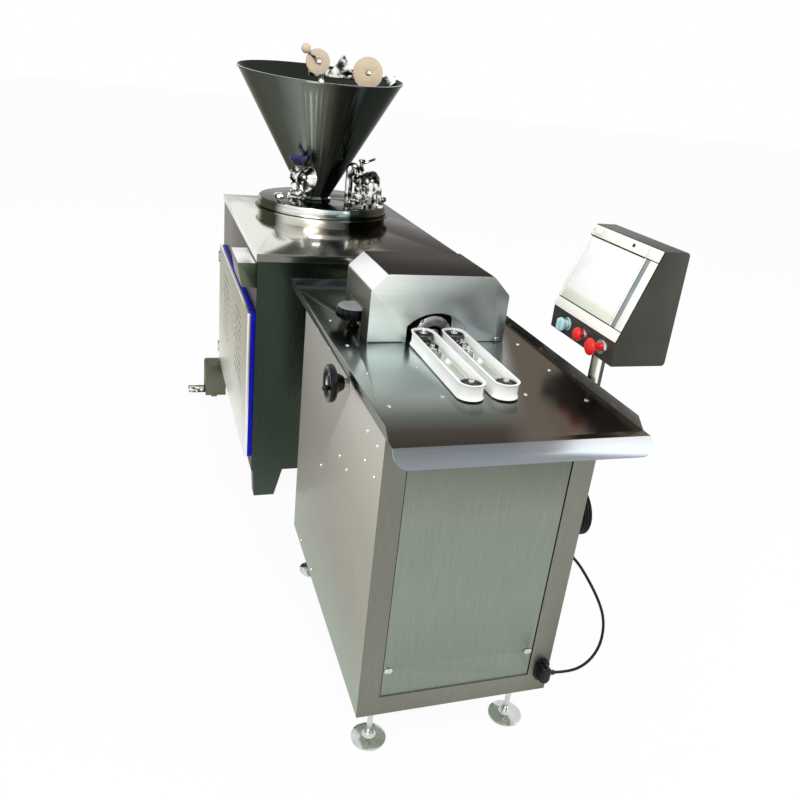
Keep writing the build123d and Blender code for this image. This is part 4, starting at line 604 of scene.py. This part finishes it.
# Black handwheel with a hollow dish, a conical hub and a turned spinner knob
WHEEL_X, WHEEL_Y, WHEEL_Z, SPINNER_R = -66, 312, 976, 30
wheel = turned("handwheel_rim_and_hub",
               [(8.1, 0.5), (15, 0.5), (18, 1.5), (20, 4), (27, 6.4), (34, 6.5), (37, 3), (40, 0.6),
                (43, 0.1), (46, 0.9), (48.4, 3.5), (49, 7), (49, 11.5), (48.2, 15), (46, 18), (42, 20.3),
                (37, 21.4), (31, 22.6), (28, 25), (25.5, 29), (21, 37), (18.4, 42), (17, 43.6), (8.1, 44),
                (8.1, 0.5)],
               (WHEEL_X, WHEEL_Y, WHEEL_Z), (1, 0, 0), black_bakelite, "wheel", "black_plastic", 72)
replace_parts(wheel, "handwheel")
turned("handwheel_spinner_knob",
       [(0, 9.5), (6, 9.5), (5.2, 2), (5.6, -1), (7.4, -5), (7.9, -9), (7.4, -13.5), (5.4, -17), (2.6, -18.2),
        (0, -18.4)],
       (WHEEL_X, WHEEL_Y - SPINNER_R, WHEEL_Z), (1, 0, 0), black_bakelite, "wheel", "black_plastic", 40)

# Pulley pins: plain round heads in front, hexagon nuts with a pointed stud at the back
for side, x in UNIT_X.items():
    front_pin = turned(side + "_front_pin",
                       [(5, 14), (5, 34.3), (7.6, 34.3), (7.6, 46), (7, 47.4), (5.6, 48), (0, 48)],
                       (x, FRONT_Y, TABLE), (0, 0, 1), bright_steel, "frame", "bright_steel", 32)
    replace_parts(front_pin, "pulley_pins")
    turned(side + "_rear_nut", [(5.3, 34.2), (11, 34.2), (11, 41.5), (9.6, 43), (5.3, 43), (5.3, 34.2)],
           (x, REAR_Y, TABLE), (0, 0, 1), bright_steel, "frame", "bright_steel", 6, 20)
    turned(side + "_rear_stud", [(5, 14), (5, 49), (4.2, 51), (1.4, 55.5), (0, 56)],
           (x, REAR_Y, TABLE), (0, 0, 1), bright_steel, "frame", "bright_steel", 24)
    clamp_x, clamp_y, clamp_top = x - 6, 411, TABLE + 34
    bar(side + "_strand_clamp", (clamp_x - 9, clamp_y - 13, clamp_top - 9.7),
        (clamp_x + 9, clamp_y + 13, clamp_top), bright_steel, "frame", "bright_steel", 2)
    turned(side + "_clamp_screw",
           [(0, 0), (6, 0), (6.4, 1), (6.4, 6), (5.4, 7.4), (2.6, 7.6), (2.2, 5), (0, 5)],
           (clamp_x, clamp_y, clamp_top), (0, 0, 1), bright_steel, "frame", "bright_steel", 28)

# Grey cover on the setting knob, and the dark joint under the hood's front edge
turned("knob_cover_plate",
       [(19, 30.3), (47, 30.3), (49, 31), (49, 32), (47.5, 33), (0, 33), (0, 27), (16, 27), (19, 30.3)],
       (95, 690, TABLE + 30), (0, 0, 1), knob_grey, "knob", "dark_steel", 64)
for side, low_x, high_x in (("left", 101, 205), ("right", 393, 519)):
    bar(side + "_hood_seal", (low_x, 543.2, 1000.3), (high_x, 545.4, 1001.7), seam_black, "hood_body",
        "black_plastic", 0.8)

# Valves on the lid: a level barrel with an open bell, on a clamped and nutted stub

LID_TOP, VALVE_Z = 1120, 1238
BARREL = [(0, 0), (20, 0), (24, 1.5), (27, 5), (27, 19), (31, 20), (31, 27), (27, 28), (27, 54), (25, 58),
          (25, 66), (31, 76), (41, 86), (51, 93), (55, 96), (55, 100), (52, 100), (48, 96), (37, 87),
          (27, 78), (21, 70), (21, 64), (0, 64)]
BALL = [(0, 64.3), (8, 65.5), (13, 69), (14.5, 74), (13, 79), (8, 82.6), (0, 84)]
STUB = [(0, 0.3), (33, 0.3), (34, 1.3), (34, 7), (32, 9), (20, 10), (18, 12), (18, 22), (29, 24), (32, 27),
        (32, 33), (29, 36), (18, 38), (18, 62), (25, 64), (26, 67), (26, 84), (22, 90), (12, 97), (0, 97)]
STUB_NUT = [(18.3, 41), (27, 41), (29, 43), (29, 57), (27, 59), (18.3, 59), (18.3, 41)]
BONNET = [(0, 18), (17, 18), (17, 29), (11, 31), (11, 38), (14, 39), (14, 45), (6.4, 46.5), (6.4, 62),
          (0, 62)]
CLAMP_BOLT = [(0, -14), (6, -14), (6, -9), (3.6, -8), (3.6, 8), (9, 9), (10, 12), (8, 17), (4, 19), (0, 19)]
ON_LID = (chrome, "hopper_unit", "bright_steel")


def valve(name, x, y, heading):
    """One valve: barrel with its bell, the ball in it, stub, nut, bonnet and clamp bolts."""
    aim = Vector((cos(radians(heading)), sin(radians(heading)), -0.08)).normalized()
    start = Vector((x, y, VALVE_Z)) - aim * 30
    sideways = Vector((-aim.y, aim.x, 0)).normalized()
    barrel = turned(name + "_barrel_and_bell", BARREL, start, aim, *ON_LID, 64)
    turned(name + "_ball", BALL, start, aim, *ON_LID, 40)
    turned(name + "_stub", STUB, (x, y, LID_TOP), (0, 0, 1), *ON_LID, 48)
    turned(name + "_nut", STUB_NUT, (x, y, LID_TOP), (0, 0, 1), *ON_LID, 6, 20)
    turned(name + "_bonnet", BONNET, (x, y, VALVE_Z), (0, 0, 1), *ON_LID, 40)
    for end, way in (("_near", -1), ("_far", 1)):
        lug = Vector((x, y, LID_TOP + 30)) + sideways * 38 * way
        half = Vector((10, 10, 7))
        bar(name + end + "_lug", lug - half, lug + half, *ON_LID, 3, 2)
        turned(name + end + "_bolt", CLAMP_BOLT, lug, (0, 0, 1), *ON_LID, 20)
    return barrel


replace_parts(valve("left_valve", 154, 2012, -64), "valve_bodies")
valve("right_valve", 442, 2014, -68)
bent_tube("right_valve_return_bend",
          [(394, 2032, LID_TOP + 0.3), (394, 2032, 1200), (394, 2032, 1252), (394, 2032, 1286),
           (410, 2036, 1292), (424, 2039, 1284), (426, 2040, 1252), (426, 2040, 1236)], 34, *ON_LID)
bent_tube("right_valve_drain",
          [(458, 2008, 1210), (490, 2011, 1210), (514, 2012, 1209), (522, 2012, 1196), (522, 2012, 1160),
           (522, 2012, LID_TOP + 0.3)], 44, *ON_LID)
turned("drain_collar", [(22.3, 0.3), (33, 0.3), (34, 1.5), (34, 13), (32, 15), (22.3, 15), (22.3, 0.3)],
       (522, 2012, LID_TOP), (0, 0, 1), *ON_LID, 40)

# Swing bolts with wing knobs that hold the lid down
for number, (x, y) in enumerate(((76, 2000), (556, 2040)), 1):
    turned("lid_bolt_knob_%d" % number,
           [(0, 0.3), (9, 0.3), (9, 10), (7, 12), (7, 18), (14, 20), (21, 25), (23, 31), (21, 38), (14, 43),
            (0, 44)],
           (x, y, LID_TOP), (0, 0, 1), *ON_LID, 12, 20)

# Mushroom buttons: the near one is pulled out, the far one sits home and looks like a ball
CHIN_X, BUTTON_Z = 600, 1129
NEAR_HEAD = [(0, -24), (11, -24), (11, 28), (12.3, 30), (17.6, 30.2), (20.7, 31.6), (22, 34), (22, 36.2),
             (20.9, 38.4), (18, 40.6), (13.2, 42.4), (7, 43.6), (0, 44)]
FAR_HEAD = [(0, -24), (9, -24), (9, 10.4), (12, 10.8), (15.6, 12), (17.6, 14.4), (18, 17), (17.2, 20.4),
            (15, 23.8), (11.4, 26.4), (6.4, 28.2), (0, 28.8)]
for body, y, outline, node in (("near_stop", 152, NEAR_HEAD, "near_stop_button"),
                               ("far_stop", 247, FAR_HEAD, "far_stop_button")):
    button = turned(body + "_mushroom", outline, (CHIN_X, y, BUTTON_Z), (-1, 0, 0), stop_red, body,
                    "red_plastic", 56)
    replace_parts(button, node)

# Selector: a skirt on the chin, a waisted stem and a pale head with a grip across it
SELECTOR_Y = 330
selector = turned("selector_head",
                  [(0, -20), (8, -20), (8, 0), (17.5, 0.3), (17.8, 2), (16, 4), (11.5, 6), (10, 9), (10, 14),
                   (14, 15.5), (17, 17.5), (17.8, 20), (17.8, 24), (16.6, 25.8), (14, 26.4), (0, 26.4)],
                  (CHIN_X, SELECTOR_Y, BUTTON_Z), (-1, 0, 0), pale_blue, "selector", "pale_blue_plastic", 56)
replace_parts(selector, "selector_knob")
bar("selector_grip", (CHIN_X - 35, SELECTOR_Y - 4.2, BUTTON_Z - 15.5),
    (CHIN_X - 25.6, SELECTOR_Y + 4.2, BUTTON_Z + 15.5), pale_blue, "selector", "pale_blue_plastic", 3, 3)

# Console face: pale strips over a dark backing, so that the joints between them show as lines.
# It starts above the chin and leans back; LOW and HIGH bound the parts beside the screen.
FACE_Z, LEAN, LOW, HIGH = 1156, 19.3, 31.2, 212.6


def on_face(name, near, far, low, high, back, front, material, slot, edge):
    """A block on the sloped face: near and far along y, low and high up the slope, back and
    front out from the face, in mm."""
    up, out = (low + high) / 2, (back + front) / 2
    middle_x = CHIN_X + up * sin(radians(LEAN)) - out * cos(radians(LEAN))
    middle_z = FACE_Z + up * cos(radians(LEAN)) + out * sin(radians(LEAN))
    half_t, half_h = (front - back) / 2, (high - low) / 2
    return bar(name, (middle_x - half_t, near, middle_z - half_h),
               (middle_x + half_t, far, middle_z + half_h), material, "console", slot, edge, 2, LEAN)


backing = on_face("console_face_backing", 98, 416, 2, 243, 0.3, 1.6, seam_black, "black_plastic", 0.3)
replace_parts(backing, "console_bezel")
glass = on_face("console_display", 153.5, 402.5, 32, 211, 1.8, 4.6, screen_glass, "screen_glass", 0.8)
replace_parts(glass, "console_screen")
for name, near, far, low, high, front in (("console_top_strip", 149.4, 416, 214.6, 243, 7.0),
                                          ("console_corner_strip", 98, 146.8, 214.6, 243, 6.2),
                                          ("console_foot_strip", 98, 416, 2, 29, 5.2),
                                          ("console_far_strip", 404, 416, LOW, HIGH, 5.2),
                                          ("console_near_strip", 98, 126, LOW, HIGH, 5.2),
                                          ("console_inner_strip", 145.4, 151.4, LOW, HIGH, 5.2)):
    on_face(name, near, far, low, high, 1.8, front, ivory_frame, "ivory_plastic", 1.2)
on_face("console_recess_bar", 127.4, 143.6, LOW, HIGH, 1.8, 3.0, recess_grey, "dark_steel", 0.5)
on_face("console_latch", 358, 392, 220, 240, 7.2, 13.5, ivory_frame, "ivory_plastic", 2.5)
on_face("console_latch_slot", 393.5, 400, 226, 233, 7.2, 8.4, seam_black, "black_plastic", 0.5)
on_face("console_lock_mark", 205, 216, 226, 234, 7.2, 8.2, seam_black, "black_plastic", 0.5)


# Cables, 8 mm thick

CABLE = 8


def cable(name, points):
    """A cable that keeps its curve, from the cabinet back into the cabinet."""
    piece = smooth_curve(name, points, CABLE, 4)
    piece.data.materials.append(jacket)
    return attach(piece, "frame")


CABLE_ROUTE = [(556, -20, 230), (604, -21, 224), (658, -16, 236), (697, -5, 274), (707, 5, 330),
               (696, 13, 388), (666, 24, 448), (632, 38, 502), (606, 56, 540), (584, 78, 560)]
control_cable = cable("control_cable_curve", CABLE_ROUTE)
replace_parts(control_cable, "control_cable")

# The spare cable hangs as a loose hank: four turns side by side, none quite round or like the
# next, then the end goes back into the outlet under it.
HANK_X, HANK_Y, HANK_Z, HANK_RADIUS, HANK_WIDTH = 583, 102, 690, 68, 32
TURNS, STEPS = 4, 16
hank_points = [(551, 102, 620), (557, 101, 618)]
for step in range(TURNS * STEPS + 1):
    angle = -pi / 2 + step * 2 * pi / STEPS
    wide = HANK_RADIUS + 4 * sin(angle * 2 + 0.6) + 2.5 * cos(step * 0.41)
    along_hank = HANK_WIDTH * step / (TURNS * STEPS) - HANK_WIDTH / 2
    hank_points.append((HANK_X + along_hank, HANK_Y + wide * cos(angle), HANK_Z + wide * sin(angle)))
hank_points += [(600, 122, 620), (598, 136, 612), (584, 140, 604), (568, 130, 600), (556, 114, 602),
                (550, 100, 604)]
hank = cable("spare_cable_hank", hank_points)
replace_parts(hank, "spare_cable_coil")


# Camera, light and floor

# The place in metres, the turns in radians and the lens in mm that fit the photo's edges
CAMERA = Vector((-0.73186, -2.69958, 1.72709))
YAW, PITCH, ROLL, FOCAL_LENGTH = 0.345, -0.407, 0.112, 34.78
ahead = Vector((sin(YAW) * cos(PITCH), cos(YAW) * cos(PITCH), sin(PITCH)))
level = Vector((cos(YAW), -sin(YAW), 0))
upright = level.cross(ahead)
right = cos(ROLL) * level + sin(ROLL) * upright
upward = -sin(ROLL) * level + cos(ROLL) * upright
lens = bpy.data.cameras.new("photo_camera")
lens.lens = FOCAL_LENGTH
lens.sensor_width = 36
lens.clip_start = 0.05
camera = bpy.data.objects.new("photo_camera", lens)
bpy.context.scene.collection.objects.link(camera)
camera.matrix_world = Matrix.Translation(CAMERA) @ Matrix((right, upward, -ahead)).transposed().to_4x4()
bpy.context.scene.camera = camera
bpy.context.scene.view_settings.view_transform = "Standard"


def softbox(name, place, aim, size, power):
    lamp = bpy.data.lights.new(name, "AREA")
    lamp.shape = "DISK"
    lamp.size = size
    lamp.energy = power
    holder = bpy.data.objects.new(name, lamp)
    bpy.context.scene.collection.objects.link(holder)
    holder.location = place
    holder.rotation_euler = (Vector(aim) - Vector(place)).to_track_quat("-Z", "Y").to_euler()
    return holder


softbox("key_light", (-2.6, -3.4, 3.8), (0, -0.6, 0.8), 2.2, 110)
softbox("fill_light", (3.2, -2.6, 2.6), (0, -0.4, 0.8), 2.5, 50)
# The light from behind would glare off the flat tops, so steel doesn't mirror it.
softbox("back_light", (0.4, 3.6, 3.6), (0, 0.4, 0.9), 2.5, 60).visible_glossy = False

def looked_at(tree):
    """1 for what the camera sees, also in mirrors and through glass, and 0 for what lights."""
    rays = add(tree, "LightPath").outputs
    seen = add(tree, "Math", {"operation": "MAXIMUM"}, {0: rays["Is Camera Ray"], 1: rays["Is Glossy Ray"]})
    seen = add(tree, "Math", {"operation": "MAXIMUM"}, {0: seen.outputs[0], 1: rays["Is Transmission Ray"]})
    return seen.outputs[0]


world = bpy.data.worlds.new("studio")
world.use_nodes = True
bpy.context.scene.world = world
tree = world.node_tree
tree.nodes.clear()
soft = add(tree, "Background", {"Color": (1, 1, 1, 1), "Strength": 0.7})
white = add(tree, "Background", {"Color": (1, 1, 1, 1), "Strength": 1.0})
both = add(tree, "MixShader", {}, {0: looked_at(tree), 1: soft.outputs[0], 2: white.outputs[0]})
add(tree, "OutputWorld", {}, {"Surface": both.outputs[0]})

# The floor lies just under the feet; most of it glows white to the camera, and the rest
# takes the machines' shadow.
GLOW_SHARE = 0.94
bpy.ops.mesh.primitive_plane_add(size=60, location=(0, 0, -0.0005))
floor = bpy.context.active_object
floor.name = "studio_floor"
material, tree, shader = new_material("pale_studio_floor", 0.9)
shader.inputs["Base Color"].default_value = paint("#F4F4F4")
share = add(tree, "Math", {"operation": "MULTIPLY", 1: GLOW_SHARE}, {0: looked_at(tree)})
glow = add(tree, "Emission", {"Color": (1, 1, 1, 1), "Strength": 1.0})
mixed = add(tree, "MixShader", {}, {0: share.outputs[0], 1: shader.outputs[0], 2: glow.outputs[0]})
tree.links.new(mixed.outputs[0], tree.nodes["Material Output"].inputs["Surface"])
floor.data.materials.append(material)
